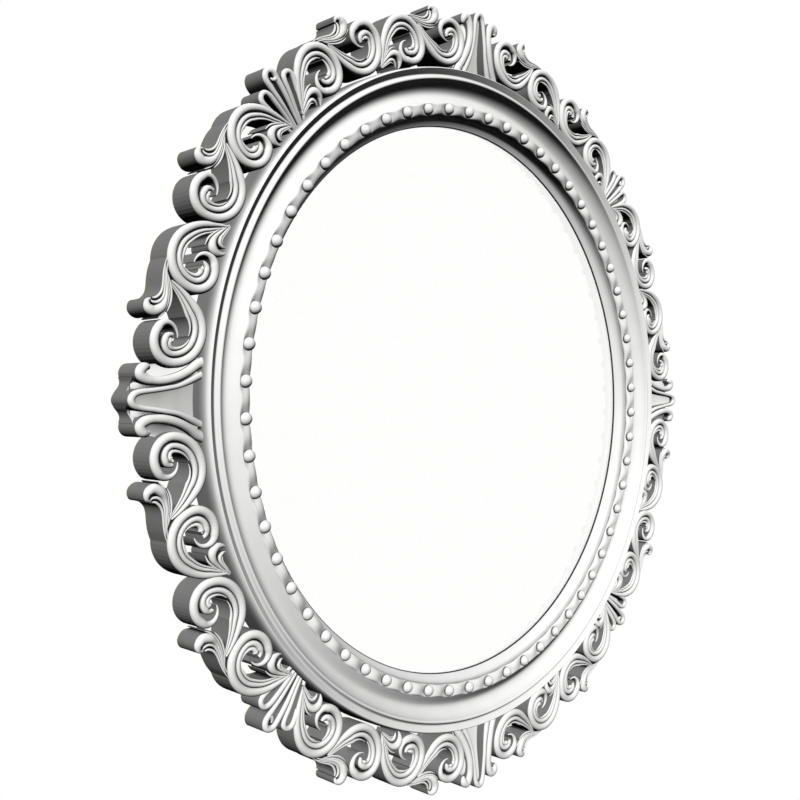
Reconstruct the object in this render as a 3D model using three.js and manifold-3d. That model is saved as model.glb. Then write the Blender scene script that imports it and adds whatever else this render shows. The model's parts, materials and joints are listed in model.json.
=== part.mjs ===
// A round carved picture frame: a turned ring with a bead course, a pierced border of scrolls, palmettes and
// fans keyed into its edge, and the glass, card, back, turn buttons and hangers behind it.
// Millimetres, +Z up. The front faces -Y, and the origin is on the ring's axis, at its flat back.
import * as THREE from "three";
import { mergeVertices } from "three/addons/utils/BufferGeometryUtils.js";
import Module from "manifold-3d";

// Ring: radius of the opening, the widths of its mouldings from the opening out, and heights above the back
const SIGHT_RADIUS = 250;
const LIP_WIDTH = 5.4;
const BEAD_CHANNEL_WIDTH = 12;
const BEAD_CHANNEL_WALL = 1.2;
const COVE_WIDTH = 16;
const RIDGE_WIDTH = 6;
const RIM_WIDTH = 7.2;
const BEAD_HEIGHT = 22;
const BEAD_SEAT_DEPTH = 5;
const LIP_TOP_HEIGHT = 20.5;
const LIP_STEP_HEIGHT = 14;
const COVE_FLOOR_HEIGHT = 20.3;
const COVE_TOP_HEIGHT = 27.6;
const RIM_GROOVE_HEIGHT = 25.2;
const RIM_HEIGHT = 28.8;
const RIM_CHAMFER = 1;
const RIDGE_HEIGHT = 29.3;
const COVE_STEPS = 2;
const RING_FACETS = 40;

// Beads
const BEAD_COUNT = 60;
const BEAD_RADIUS = 5;
const BEAD_SADDLE_WIDTH = 7;
const BEAD_SADDLE_RISE = 0.8;
const BEAD_SADDLE_DROP = 1.5;

// Border: two scroll units between a palmette and the next fan, spaced in steps of the grid it is drawn on
const AXIS_COUNT = 4;
const PALMETTE_TO_UNIT = 67.7;
const UNIT_TO_UNIT = 100;
const UNIT_TO_FAN = 66.7;
const BORDER_DEPTH = 22;
const ROLL_WIDTH = 6.8;
const ROLL_RISE = 3.4;
const STATIONS = 12;
const LEAF_STATIONS = 7;
const TONGUE_STATIONS = 5;

// Keys: tongues on the border pieces that sit in a groove round the ring
const KEY_LENGTH = 10;
const KEY_REACH = 4.5;
const KEY_ROOT = 5;
const KEY_GROOVE_WIDTH = 6;
const KEY_GROOVE_HEIGHT = 11;

// Picture stack in the rebate: how far the glass reaches under the lip, and what lies behind it
const GLASS_LAP = 4;
const GLASS_THICKNESS = 2;
const CARD_THICKNESS = 0.8;
const BACKING_THICKNESS = 3;

// Hardware on the back
const BUTTON_COUNT = 4;
const BUTTON_LENGTH = 34;
const BUTTON_WIDTH = 10;
const BUTTON_THICKNESS = 2;
const BUTTON_TAIL = 10;
const SCREW_SHANK_RADIUS = 1.7;
const SCREW_HEAD_RADIUS = 3.6;
const SCREW_HEAD_HEIGHT = 1.8;
const SCREW_LENGTH = 12;
const SCREW_SIDES = 8;
const HANGER_DEG = 50;
const STRAP_LENGTH = 21;
const STRAP_WIDTH = 11;
const STRAP_THICKNESS = 1.5;
const STRAP_SCREW_DROP = 11;
const WIRE_RADIUS = 1.3;
const WIRE_CORNER = 2.5;
const WIRE_SIDES = 6;
const HANGER_SIDE_GAP = 1.5;
const HANGER_RING_DROP = 13;
const CURVE_STEPS = 4;
const RING_CURVE_STEPS = 3;
const BUMPER_DEG = 150;
const BUMPER_RADIUS = 7;
const BUMPER_THICKNESS = 5;
const BUMPER_SIDES = 12;

// Clearances
const SEAT_GAP = 0.3;
const LAYER_GAP = 0.15;
const NEIGHBOUR_GAP = 0.4;
const HOLE_GAP = 0.25;
const GLASS_GAP = 1;

// Worked out from the sizes above
const channelInner = SIGHT_RADIUS + LIP_WIDTH + BEAD_CHANNEL_WALL;
const channelOuter = channelInner + BEAD_CHANNEL_WIDTH;
const beadCircle = (channelInner + channelOuter) / 2;
const coveOuter = channelOuter + BEAD_CHANNEL_WALL + COVE_WIDTH;
const ridgeOuter = coveOuter + RIDGE_WIDTH;
const ringRadius = ridgeOuter + RIM_WIDTH;
const glassRadius = SIGHT_RADIUS + GLASS_LAP;
const rebateRadius = glassRadius + GLASS_GAP;
const backingBack = LAYER_GAP;
const backingFront = backingBack + BACKING_THICKNESS;
const cardFront = backingFront + LAYER_GAP + CARD_THICKNESS;
const glassFront = cardFront + LAYER_GAP + GLASS_THICKNESS;
const rebateDepth = glassFront + LAYER_GAP;
const backMiddle = (rebateRadius + ringRadius) / 2;
// How far the middle of a flat facet lies inside the round of the bead channel's outer wall
const facetSag = channelOuter * (1 - Math.cos(Math.PI / RING_FACETS));
// The border's grid starts at the middle of each unit and at the ring's edge, and fills the ring evenly
const stepAngle = Math.PI / AXIS_COUNT / (PALMETTE_TO_UNIT + UNIT_TO_UNIT + UNIT_TO_FAN);
const grid = ringRadius * stepAngle;

// Scroll lines are drawn with compasses: chains of arcs, each running on from the last.
// start is [along, up] on the grid, and each arc is [radius, degrees, width of the band at its end].
const S_SCROLL = {
  start: [7.3, 35.5],
  heading: -104,
  side: -1,
  width: 3,
  arcs: [
    [73.3, 20.4, 11.5],
    [26.7, 133, 12.5],
    [18, 131.3, 9.3],
    [10.2, 152.4, 0.8],
  ],
};
const C_SCROLL = {
  start: [59.2, 0.6],
  heading: 96,
  side: 1,
  width: 5,
  arcs: [
    [130, 6.6, 7],
    [42.3, 29, 9.5],
    [26.8, 119.3, 13.2],
    [19.9, 133.2, 9.5],
    [10.4, 156.9, 0.8],
  ],
};
const OUTER_LEAF = {
  start: [18.8, 42.2],
  heading: 209.4,
  side: -1,
  width: 1,
  arcs: [
    [140.9, 12, 9],
    [11.4, 148.1, 4.6],
    [5.1, 131.8, 0.6],
  ],
};
const INNER_LEAF = {
  start: [60.5, -2],
  heading: 128.1,
  side: 1,
  width: 1.2,
  arcs: [
    [71.7, 17.4, 5.9],
    [6.4, 80.5, 5.9],
    [9.5, 108, 0.8],
  ],
};
// The palmette's side lobe curls away from its middle tongue
const LOBE = {
  start: [20.8, -4.5],
  heading: 119,
  side: -1,
  width: 8.5,
  arcs: [
    [110, 16, 12],
    [110, 13, 6.2],
    [6.9, 200, 0.8],
  ],
};
// Tongues: length, half width at the base and at the widest, and depth of the flute at the base and the tip
const PALMETTE_TONGUE = { length: 57.5, base: 15.5, widest: 8.2, fluteBase: 11, fluteTip: 3 };
const FAN_MIDDLE = { length: 46.5, base: 3.2, widest: 7.4, fluteBase: 2, fluteTip: 3.5 };
const FAN_SIDE_STEP = 9;
const FAN_SIDE = {
  length: FAN_MIDDLE.length - FAN_SIDE_STEP,
  base: 4.6,
  widest: 5.6,
  fluteBase: 3,
  fluteTip: 5,
};
const FAN_SIDE_OUT = 7;
const FAN_SIDE_LEAN_DEG = 10;
const TONGUE_RIDGE = 3.8;
const TONGUE_TIP = 2;

const wasm = await Module();
wasm.setup();

// Points closer than this are one point when a solid is made
const MERGE_DISTANCE = 1e-4;
// Stations along a line where its lowest point is looked for
const FINE_STATIONS = 120;

// A closed geometry as a solid that can be joined and cut
function solidFrom(geometry) {
  const loose = geometry.index ? geometry.toNonIndexed() : geometry;
  const bare = new THREE.BufferGeometry();
  bare.setAttribute("position", loose.getAttribute("position"));
  const merged = mergeVertices(bare, MERGE_DISTANCE);
  return new wasm.Manifold(
    new wasm.Mesh({
      numProp: 3,
      vertProperties: merged.attributes.position.array,
      triVerts: new Uint32Array(merged.index.array),
    }),
  );
}

// A solid back as a geometry
function geometryFrom(solid) {
  const mesh = solid.getMesh();
  const geometry = new THREE.BufferGeometry();
  geometry.setAttribute("position", new THREE.BufferAttribute(mesh.vertProperties, mesh.numProp));
  geometry.setIndex(new THREE.BufferAttribute(mesh.triVerts, 1));
  geometry.computeVertexNormals();
  return geometry;
}

function joined(solids) {
  return solids.reduce((whole, solid) => whole.add(solid));
}

// The triangles of a flat ring of points, turning the way that the ring does
function endFaces(ring) {
  const along = ring[1].clone().sub(ring[0]).normalize();
  const normal = new THREE.Vector3();
  ring.forEach((p, i) => normal.add(p.clone().cross(ring[(i + 1) % ring.length])));
  normal.normalize();
  const across = normal.clone().cross(along);
  const flat = ring.map((p) => new THREE.Vector2(p.dot(along), p.dot(across)));
  return THREE.ShapeUtils.triangulateShape(flat, []);
}

// A skin over rings of points, each with as many points as the next. An open run of rings gets flat ends.
// The rings turn clockwise as seen from the far end, or the other way where flip is true.
function loft(rings, { closed = false, flip = false } = {}) {
  const count = rings[0].length;
  const faces = [];
  const add = (a, b, c) => faces.push(...(flip ? [a, b, c] : [a, c, b]));
  const spans = closed ? rings.length : rings.length - 1;
  for (let i = 0; i < spans; i += 1) {
    const near = i * count;
    const far = ((i + 1) % rings.length) * count;
    for (let j = 0; j < count; j += 1) {
      const next = (j + 1) % count;
      add(near + j, near + next, far + next);
      add(near + j, far + next, far + j);
    }
  }
  if (!closed) {
    const last = (rings.length - 1) * count;
    endFaces(rings[0]).forEach(([a, b, c]) => add(a, c, b));
    endFaces(rings[rings.length - 1]).forEach(([a, b, c]) => add(last + a, last + b, last + c));
  }
  const numbers = rings.flat().flatMap((p) => p.toArray());
  const geometry = new THREE.BufferGeometry();
  geometry.setAttribute("position", new THREE.Float32BufferAttribute(numbers, 3));
  geometry.setIndex(faces);
  return geometry;
}

// The points of a chain of arcs, each with its arc, the way to the band's inner side and the band's width.
// The stations are shared out so that the steps stray about as far from every arc.
function chain(line, stations) {
  const arcs = line.arcs.map(([radius, degrees, width]) => ({
    radius: radius * grid,
    turn: THREE.MathUtils.degToRad(degrees),
    width: width * grid,
  }));
  const shares = arcs.map((arc) => arc.turn * Math.sqrt(arc.radius));
  const whole = shares.reduce((sum, share) => sum + share, 0);
  const points = [];
  let at = new THREE.Vector2(line.start[0] * grid, ringRadius + line.start[1] * grid);
  let heading = THREE.MathUtils.degToRad(line.heading);
  let width = line.width * grid;
  arcs.forEach((arc, index) => {
    const steps = Math.max(1, Math.round(((stations - 1) * shares[index]) / whole));
    const towards = new THREE.Vector2(-Math.sin(heading), Math.cos(heading)).multiplyScalar(line.side);
    const centre = at.clone().addScaledVector(towards, arc.radius);
    for (let i = index === 0 ? 0 : 1; i <= steps; i += 1) {
      const angle = heading + (line.side * arc.turn * i) / steps;
      const inward = new THREE.Vector2(-Math.sin(angle), Math.cos(angle)).multiplyScalar(line.side);
      const rim = centre.clone().addScaledVector(inward, -arc.radius);
      points.push({ index, rim, inward, width: THREE.MathUtils.lerp(width, arc.width, i / steps) });
    }
    heading += line.side * arc.turn;
    at = points[points.length - 1].rim;
    width = arc.width;
  });
  return points;
}

// A band along a line: the section at each point is a list of [across from the rim, height above the back]
function band(line, stations, sectionAt) {
  const rings = chain(line, stations).map(({ rim, inward, width }) =>
    sectionAt(width).map(([across, height]) => {
      const p = rim.clone().addScaledVector(inward, across);
      return new THREE.Vector3(p.x, -height, p.y);
    }),
  );
  return solidFrom(loft(rings, { flip: line.side < 0 }));
}

// A scroll's section: upright sides, a rolled rim, a groove and a rising inner edge
function scrollSection(width) {
  const roll = Math.min(ROLL_WIDTH, width / 2);
  const rise = (ROLL_RISE * roll) / ROLL_WIDTH;
  return [
    [0, 0],
    [0, BORDER_DEPTH],
    [roll / 2, BORDER_DEPTH + rise],
    [roll, BORDER_DEPTH],
    [width, BORDER_DEPTH + rise / 2],
    [width, 0],
  ];
}

// A leaf's section: upright sides and one rounded back
function leafSection(width) {
  const rise = Math.min(ROLL_RISE, width / 2);
  return [
    [0, 0],
    [0, BORDER_DEPTH],
    [width / 2, BORDER_DEPTH + rise],
    [width, BORDER_DEPTH],
    [width, 0],
  ];
}

// A tongue that stands on the ring: a ridge up each side and over the tip, and a flute between.
// It closes to a blunt tip over the last stretch, which is as long as half its width.
// With spare room round it, it is a cutter for what stands beside it.
function tongue(form, spare = 0) {
  const length = form.length * grid + spare;
  const widest = form.widest * grid;
  const tip = TONGUE_TIP * grid;
  const shoulder = 1 - widest / length;
  const rings = [];
  for (let i = 0; i < TONGUE_STATIONS; i += 1) {
    const share = 1 - (1 - i / (TONGUE_STATIONS - 1)) ** 2;
    const full = THREE.MathUtils.lerp(form.base * grid, widest, Math.min(1, share / shoulder));
    const past = Math.max(0, share - shoulder) / (1 - shoulder);
    const half = Math.sqrt(full ** 2 - past ** 2 * (full ** 2 - tip ** 2)) + spare;
    const ridge = Math.min(TONGUE_RIDGE * grid, half);
    const rise = (ROLL_RISE * ridge) / (TONGUE_RIDGE * grid);
    const depth = THREE.MathUtils.lerp(form.fluteBase, form.fluteTip, share) * grid;
    const flute = depth * Math.min(1, half / full);
    const crest = BORDER_DEPTH + rise;
    const section = [
      [-half, -spare],
      [-half, BORDER_DEPTH + spare],
      [-half + ridge / 2, crest + spare],
      [0, spare > 0 ? crest + spare : crest - flute],
      [half - ridge / 2, crest + spare],
      [half, BORDER_DEPTH + spare],
      [half, -spare],
    ];
    const up = ringRadius + SEAT_GAP + length * share;
    rings.push(section.map(([across, height]) => new THREE.Vector3(across, -height, up)));
  }
  return loft(rings, { flip: true });
}

// The three tongues of a fan, the outer two leaning away from the middle one
function fanTongues(spare = 0) {
  const lean = THREE.MathUtils.degToRad(FAN_SIDE_LEAN_DEG);
  const sides = [-1, 1].map((side) => {
    const leaf = tongue(FAN_SIDE, spare);
    leaf.translate(0, 0, -ringRadius);
    leaf.rotateY(side * lean);
    leaf.translate(side * FAN_SIDE_OUT * grid, 0, ringRadius);
    return solidFrom(leaf);
  });
  return joined([solidFrom(tongue(FAN_MIDDLE, spare)), ...sides]);
}

// Where a line comes nearest to the ring, as an angle round it from the unit's middle
function seatAngle(line) {
  const rims = chain(line, FINE_STATIONS).map(({ rim }) => rim);
  const nearest = rims.reduce((best, rim) => (rim.length() < best.length() ? rim : best));
  return Math.atan2(nearest.x, nearest.y);
}

// A key at an angle round the ring, reaching into the ring's groove
function edgeKey(angle) {
  const block = new THREE.BoxGeometry(KEY_LENGTH, KEY_GROOVE_WIDTH - 2 * SEAT_GAP, KEY_REACH + KEY_ROOT);
  block.translate(0, -KEY_GROOVE_HEIGHT, ringRadius + (KEY_ROOT - KEY_REACH) / 2);
  block.rotateY(angle);
  return solidFrom(block);
}

// A cutter of the S-scroll's round outer side, with a gap round it, turned to where a neighbour sees it
function voluteCutter(side, angle) {
  const edge = chain(S_SCROLL, STATIONS).filter(({ index }) => index === 1 || index === 2);
  const outline = edge.map(({ rim, inward }) => rim.clone().addScaledVector(inward, -NEIGHBOUR_GAP));
  const shape = new THREE.Shape(outline.map((p) => new THREE.Vector2(side * p.x, p.y)));
  const depth = BORDER_DEPTH + 2 * RIDGE_HEIGHT;
  const cutter = new THREE.ExtrudeGeometry(shape, { depth, bevelEnabled: false });
  cutter.translate(0, 0, -RIDGE_HEIGHT);
  cutter.rotateX(Math.PI / 2);
  cutter.rotateY(angle);
  return solidFrom(cutter);
}

// A cutter that fits a border piece to the ring's edge
function ringCutter() {
  const sides = 2 * RING_FACETS;
  const radius = (ringRadius + SEAT_GAP) / Math.cos(Math.PI / sides);
  return solidFrom(new THREE.CylinderGeometry(radius, radius, 4 * RIDGE_HEIGHT, sides));
}

// A scroll unit: two scrolls and two leaves carved in one, cut clear of the neighbour over its tail
function scrollUnit(neighbour) {
  const scrolls = [S_SCROLL, C_SCROLL];
  const leaves = [OUTER_LEAF, INNER_LEAF];
  const carved = joined([
    ...scrolls.map((line) => band(line, STATIONS, scrollSection)),
    ...leaves.map((line) => band(line, LEAF_STATIONS, leafSection)),
  ]);
  const fitted = carved.subtract(ringCutter()).subtract(neighbour);
  return fitted.add(joined(scrolls.map((line) => edgeKey(seatAngle(line)))));
}

function palmette() {
  const first = PALMETTE_TO_UNIT * stepAngle;
  const [along, up] = LOBE.start;
  const mirrored = { ...LOBE, start: [-along, up], heading: 180 - LOBE.heading, side: -LOBE.side };
  const lobes = [LOBE, mirrored].map((line) => band(line, LEAF_STATIONS, leafSection));
  const carved = joined([solidFrom(tongue(PALMETTE_TONGUE)), ...lobes]).subtract(ringCutter());
  const fitted = [-1, 1].reduce((piece, side) => piece.subtract(voluteCutter(side, side * first)), carved);
  return fitted.add(edgeKey(0));
}

function fan() {
  return fanTongues().add(edgeKey(0));
}

// A screw along Y, its head's underside at 0 and its point towards the front
function screwGeometry() {
  const profile = [
    [0, -SCREW_LENGTH],
    [SCREW_SHANK_RADIUS, -SCREW_LENGTH + SCREW_SHANK_RADIUS],
    [SCREW_SHANK_RADIUS, 0],
    [SCREW_HEAD_RADIUS, 0],
    [SCREW_SHANK_RADIUS, SCREW_HEAD_HEIGHT],
    [0, SCREW_HEAD_HEIGHT],
  ];
  return new THREE.LatheGeometry(profile.map(([r, y]) => new THREE.Vector2(r, y)), SCREW_SIDES);
}

// A hole for a screw's shank along Y
function screwHole(x, z) {
  const radius = SCREW_SHANK_RADIUS + HOLE_GAP;
  const hole = new THREE.CylinderGeometry(radius, radius, 2 * (SCREW_LENGTH + HOLE_GAP), SCREW_SIDES);
  hole.translate(x, 0, z);
  return solidFrom(hole);
}

// Places of the hardware on the back, as [x, z]
function roundBack(radius, degreesFromTop) {
  const angle = THREE.MathUtils.degToRad(degreesFromTop);
  return [radius * Math.sin(angle), radius * Math.cos(angle)];
}
const buttonCircle = glassRadius + BUTTON_TAIL;
const buttonTurns = Array.from({ length: BUTTON_COUNT }, (_, i) => (i * 360) / BUTTON_COUNT);
const buttonPlaces = buttonTurns.map((degrees) => roundBack(buttonCircle, degrees));
const hangerPlaces = [-HANGER_DEG, HANGER_DEG].map((degrees) => roundBack(backMiddle, degrees));
const hangerScrewPlaces = hangerPlaces.map(([x, z]) => [x, z - STRAP_SCREW_DROP]);
const bumperPlaces = [-BUMPER_DEG, BUMPER_DEG].map((degrees) => roundBack(backMiddle, degrees));

function mouldingRing() {
  const floor = BEAD_HEIGHT - BEAD_SEAT_DEPTH;
  const coveInner = channelOuter + BEAD_CHANNEL_WALL;
  const cove = Array.from({ length: COVE_STEPS + 1 }, (_, i) => {
    const turn = (i * Math.PI) / 2 / COVE_STEPS;
    const rise = (COVE_TOP_HEIGHT - COVE_FLOOR_HEIGHT) * (1 - Math.cos(turn));
    return [coveInner + COVE_WIDTH * Math.sin(turn), COVE_FLOOR_HEIGHT + rise];
  });
  const grooveFloor = ringRadius - KEY_REACH - SEAT_GAP;
  const profile = [
    [rebateRadius, 0],
    [rebateRadius, rebateDepth],
    [SIGHT_RADIUS, rebateDepth],
    [SIGHT_RADIUS + LIP_WIDTH - BEAD_CHANNEL_WALL, LIP_STEP_HEIGHT],
    [SIGHT_RADIUS + LIP_WIDTH, LIP_TOP_HEIGHT],
    [channelInner, LIP_TOP_HEIGHT],
    [channelInner, floor],
    [channelOuter, floor],
    [channelOuter, COVE_FLOOR_HEIGHT],
    ...cove,
    [coveOuter + RIDGE_WIDTH / 2, RIDGE_HEIGHT],
    [ridgeOuter, RIM_GROOVE_HEIGHT],
    [ringRadius - RIM_CHAMFER, RIM_HEIGHT],
    [ringRadius, RIM_HEIGHT - RIM_CHAMFER],
    [ringRadius, KEY_GROOVE_HEIGHT + KEY_GROOVE_WIDTH / 2],
    [grooveFloor, KEY_GROOVE_HEIGHT + KEY_GROOVE_WIDTH / 2],
    [grooveFloor, KEY_GROOVE_HEIGHT - KEY_GROOVE_WIDTH / 2],
    [ringRadius, KEY_GROOVE_HEIGHT - KEY_GROOVE_WIDTH / 2],
    [ringRadius, 0],
    [rebateRadius, 0],
  ];
  const turned = new THREE.LatheGeometry(profile.map(([r, h]) => new THREE.Vector2(r, -h)), RING_FACETS);
  const holes = [...buttonPlaces, ...hangerScrewPlaces].map(([x, z]) => screwHole(x, z));
  return geometryFrom(solidFrom(turned).subtract(joined(holes)));
}

// The bead course: a hoop whose section swells at each bead and narrows between them
function beadCourse() {
  const halfSeat = BEAD_CHANNEL_WIDTH / 2 - SEAT_GAP - facetSag;
  const foot = BEAD_HEIGHT - BEAD_SEAT_DEPTH + LAYER_GAP;
  const rings = Array.from({ length: 2 * BEAD_COUNT }, (_, i) => {
    const angle = ((i + 1) * Math.PI) / BEAD_COUNT;
    const onBead = i % 2 === 0;
    const half = onBead ? BEAD_RADIUS : BEAD_SADDLE_WIDTH / 2;
    const crest = onBead ? BEAD_HEIGHT + BEAD_RADIUS : BEAD_HEIGHT + BEAD_SADDLE_RISE;
    const shoulder = onBead ? BEAD_HEIGHT : BEAD_HEIGHT - BEAD_SADDLE_DROP;
    const section = [
      [-halfSeat, foot],
      [-half, shoulder],
      [0, crest],
      [half, shoulder],
      [halfSeat, foot],
    ];
    return section.map(([out, height]) => {
      const r = beadCircle + out;
      return new THREE.Vector3(r * Math.sin(angle), -height, r * Math.cos(angle));
    });
  });
  return loft(rings, { closed: true });
}

function disc(radius, thickness, front) {
  const geometry = new THREE.CylinderGeometry(radius, radius, thickness, RING_FACETS);
  geometry.translate(0, thickness / 2 - front, 0);
  return geometry;
}

// A turn button: a bar with round ends that turns on its screw, and points to the middle at rest
function turnButton(degreesFromTop) {
  const half = BUTTON_WIDTH / 2;
  const shape = new THREE.Shape();
  shape.absarc(0, BUTTON_TAIL - half, half, 0, Math.PI);
  shape.absarc(0, BUTTON_TAIL - BUTTON_LENGTH + half, half, Math.PI, 2 * Math.PI);
  const hole = new THREE.Path();
  hole.absarc(0, 0, SCREW_SHANK_RADIUS + HOLE_GAP, 0, 2 * Math.PI);
  shape.holes.push(hole);
  const options = { depth: BUTTON_THICKNESS, bevelEnabled: false, curveSegments: CURVE_STEPS };
  const geometry = new THREE.ExtrudeGeometry(shape, options);
  geometry.rotateX(Math.PI / 2);
  geometry.translate(0, BUTTON_THICKNESS + SEAT_GAP, 0);
  geometry.rotateY(THREE.MathUtils.degToRad(degreesFromTop));
  return geometry;
}

// The hanger's strap: a plate whose top is rolled into a barrel for the ring, with a hole for its screw
const barrelBore = WIRE_RADIUS + HOLE_GAP;
const barrelRadius = barrelBore + STRAP_THICKNESS;
const barrelBack = SEAT_GAP + barrelRadius;
function hangerStrap() {
  const top = SEAT_GAP + STRAP_THICKNESS;
  const meets = Math.acos((barrelBack - top) / barrelRadius);
  const shape = new THREE.Shape();
  shape.moveTo(-STRAP_LENGTH, SEAT_GAP);
  shape.lineTo(0, SEAT_GAP);
  shape.absarc(0, barrelBack, barrelRadius, -Math.PI / 2, (3 * Math.PI) / 2 - meets);
  shape.lineTo(-STRAP_LENGTH, top);
  const bore = new THREE.Path();
  bore.absarc(0, barrelBack, barrelBore, 0, 2 * Math.PI);
  shape.holes.push(bore);
  const options = { depth: STRAP_WIDTH, bevelEnabled: false, curveSegments: CURVE_STEPS };
  const plate = new THREE.ExtrudeGeometry(shape, options);
  plate.rotateY(-Math.PI / 2);
  plate.translate(STRAP_WIDTH / 2, 0, 0);
  return geometryFrom(solidFrom(plate).subtract(screwHole(0, -STRAP_SCREW_DROP)));
}

// The hanger's ring: a D of round wire, its straight side in the barrel, hanging down
function hangerRing() {
  const half = STRAP_WIDTH / 2 + HANGER_SIDE_GAP + WIRE_CORNER;
  const outline = new THREE.Shape();
  outline.absarc(half - WIRE_CORNER, -WIRE_CORNER, WIRE_CORNER, Math.PI / 2, 0, true);
  outline.absarc(0, -HANGER_RING_DROP, half, 0, -Math.PI, true);
  outline.absarc(WIRE_CORNER - half, -WIRE_CORNER, WIRE_CORNER, Math.PI, Math.PI / 2, true);
  const path = outline.getPoints(RING_CURVE_STEPS);
  const rings = path.map((p, i) => {
    const before = path[(i + path.length - 1) % path.length];
    const after = path[(i + 1) % path.length];
    const along = after.clone().sub(before).normalize();
    return Array.from({ length: WIRE_SIDES }, (_, k) => {
      const turn = (2 * Math.PI * k) / WIRE_SIDES;
      const out = WIRE_RADIUS * Math.cos(turn);
      const back = barrelBack - WIRE_RADIUS * Math.sin(turn);
      return new THREE.Vector3(p.x - along.y * out, back, p.y + along.x * out);
    });
  });
  return loft(rings, { closed: true, flip: true });
}

// Finishes
const silver = { color: 0xb8b8b6, roughness: 0.38, metalness: 0.55 };
const clear = { color: 0xf4f8f8, roughness: 0.05, metalness: 0, transparent: true, opacity: 0.15 };
const white = { color: 0xf6f6f4, roughness: 0.9, metalness: 0 };
const hardboard = { color: 0x7a5a3c, roughness: 0.85, metalness: 0 };
const nickel = { color: 0xb3b0a8, roughness: 0.32, metalness: 1 };
const felt = { color: 0x3a3a3a, roughness: 1, metalness: 0 };

const frame = new THREE.Group();
function place(parent, name, geometry, finish) {
  const mesh = new THREE.Mesh(geometry, new THREE.MeshStandardMaterial(finish));
  mesh.name = name;
  parent.add(mesh);
  return mesh;
}

place(frame, "moulding_ring", mouldingRing(), silver);
place(frame, "bead_course", beadCourse(), silver);
place(frame, "glass_pane", disc(glassRadius, GLASS_THICKNESS, glassFront), clear);
place(frame, "picture_card", disc(glassRadius, CARD_THICKNESS, cardFront), white);
place(frame, "backing_board", disc(glassRadius, BACKING_THICKNESS, backingFront), hardboard);

// The border, clockwise from the top: a palmette, two units, a fan, and the two units mirrored
const quarter = (2 * Math.PI) / AXIS_COUNT;
const firstPlace = PALMETTE_TO_UNIT * stepAngle;
const secondPlace = firstPlace + UNIT_TO_UNIT * stepAngle;
const fanCutter = solidFrom(geometryFrom(fanTongues(NEIGHBOUR_GAP)).rotateY(UNIT_TO_FAN * stepAngle));
const firstUnit = geometryFrom(scrollUnit(voluteCutter(1, UNIT_TO_UNIT * stepAngle)));
const secondUnit = geometryFrom(scrollUnit(fanCutter));
const palmetteForm = geometryFrom(palmette());
const fanForm = geometryFrom(fan());
for (let axis = 0; axis < AXIS_COUNT; axis += 1) {
  const turned = new THREE.Group();
  turned.rotation.y = axis * quarter;
  frame.add(turned);
  place(turned, `palmette_${axis + 1}`, palmetteForm, silver);
  place(turned, `fan_${axis + 1}`, fanForm, silver).rotation.y = quarter / 2;
  const run = [
    [firstUnit, firstPlace, 1],
    [secondUnit, secondPlace, 1],
    [secondUnit, quarter - secondPlace, -1],
    [firstUnit, quarter - firstPlace, -1],
  ];
  run.forEach(([form, angle, side], i) => {
    const unit = place(turned, `scroll_${axis * run.length + i + 1}`, form, silver);
    unit.rotation.y = angle;
    unit.scale.x = side;
  });
}

buttonPlaces.forEach(([x, z], i) => {
  place(frame, `turn_button_${i + 1}`, turnButton(buttonTurns[i]), nickel).position.set(x, 0, z);
  const under = SEAT_GAP + BUTTON_THICKNESS + LAYER_GAP;
  place(frame, `turn_button_screw_${i + 1}`, screwGeometry(), nickel).position.set(x, under, z);
});
hangerPlaces.forEach(([x, z], i) => {
  place(frame, `hanger_strap_${i + 1}`, hangerStrap(), nickel).position.set(x, 0, z);
  place(frame, `hanger_ring_${i + 1}`, hangerRing(), nickel).position.set(x, 0, z);
});
hangerScrewPlaces.forEach(([x, z], i) => {
  const under = SEAT_GAP + STRAP_THICKNESS + LAYER_GAP;
  place(frame, `hanger_screw_${i + 1}`, screwGeometry(), nickel).position.set(x, under, z);
});
bumperPlaces.forEach(([x, z], i) => {
  const pad = new THREE.CylinderGeometry(BUMPER_RADIUS, BUMPER_RADIUS, BUMPER_THICKNESS, BUMPER_SIDES);
  place(frame, `wall_bumper_${i + 1}`, pad, felt).position.set(x, SEAT_GAP + BUMPER_THICKNESS / 2, z);
});

export default frame;
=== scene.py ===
import itertools
import json
import math

import bmesh
import bpy
from mathutils import Matrix, Vector

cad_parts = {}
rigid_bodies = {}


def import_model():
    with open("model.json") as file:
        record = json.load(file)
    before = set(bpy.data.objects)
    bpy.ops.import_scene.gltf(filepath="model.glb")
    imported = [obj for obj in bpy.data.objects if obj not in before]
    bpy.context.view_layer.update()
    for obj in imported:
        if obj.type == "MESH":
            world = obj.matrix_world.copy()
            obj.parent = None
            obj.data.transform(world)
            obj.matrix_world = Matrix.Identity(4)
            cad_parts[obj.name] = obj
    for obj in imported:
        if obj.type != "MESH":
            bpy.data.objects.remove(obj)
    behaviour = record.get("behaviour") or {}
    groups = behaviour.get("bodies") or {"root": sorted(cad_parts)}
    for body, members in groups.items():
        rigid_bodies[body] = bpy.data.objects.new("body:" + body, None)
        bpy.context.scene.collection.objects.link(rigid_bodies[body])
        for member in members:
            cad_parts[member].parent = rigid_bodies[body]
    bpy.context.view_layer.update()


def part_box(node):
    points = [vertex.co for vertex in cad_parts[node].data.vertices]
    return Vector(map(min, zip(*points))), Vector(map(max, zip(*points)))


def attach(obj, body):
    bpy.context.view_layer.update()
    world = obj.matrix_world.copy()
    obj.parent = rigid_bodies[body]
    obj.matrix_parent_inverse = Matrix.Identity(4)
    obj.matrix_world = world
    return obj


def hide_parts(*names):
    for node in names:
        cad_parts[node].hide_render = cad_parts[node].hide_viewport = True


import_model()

# Moulding ring: limewood segments glued up and turned on a faceplate to a stepped section.
# The front and edge are gessoed and silver leafed. The back is bare, with a rebate that holds the glass.
# Sizes here are in millimetres: radii from the ring's axis, and heights above its flat back.
MM = 0.001
ring_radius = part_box("moulding_ring")[1].x / MM
SIGHT_RADIUS = 250
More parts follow.
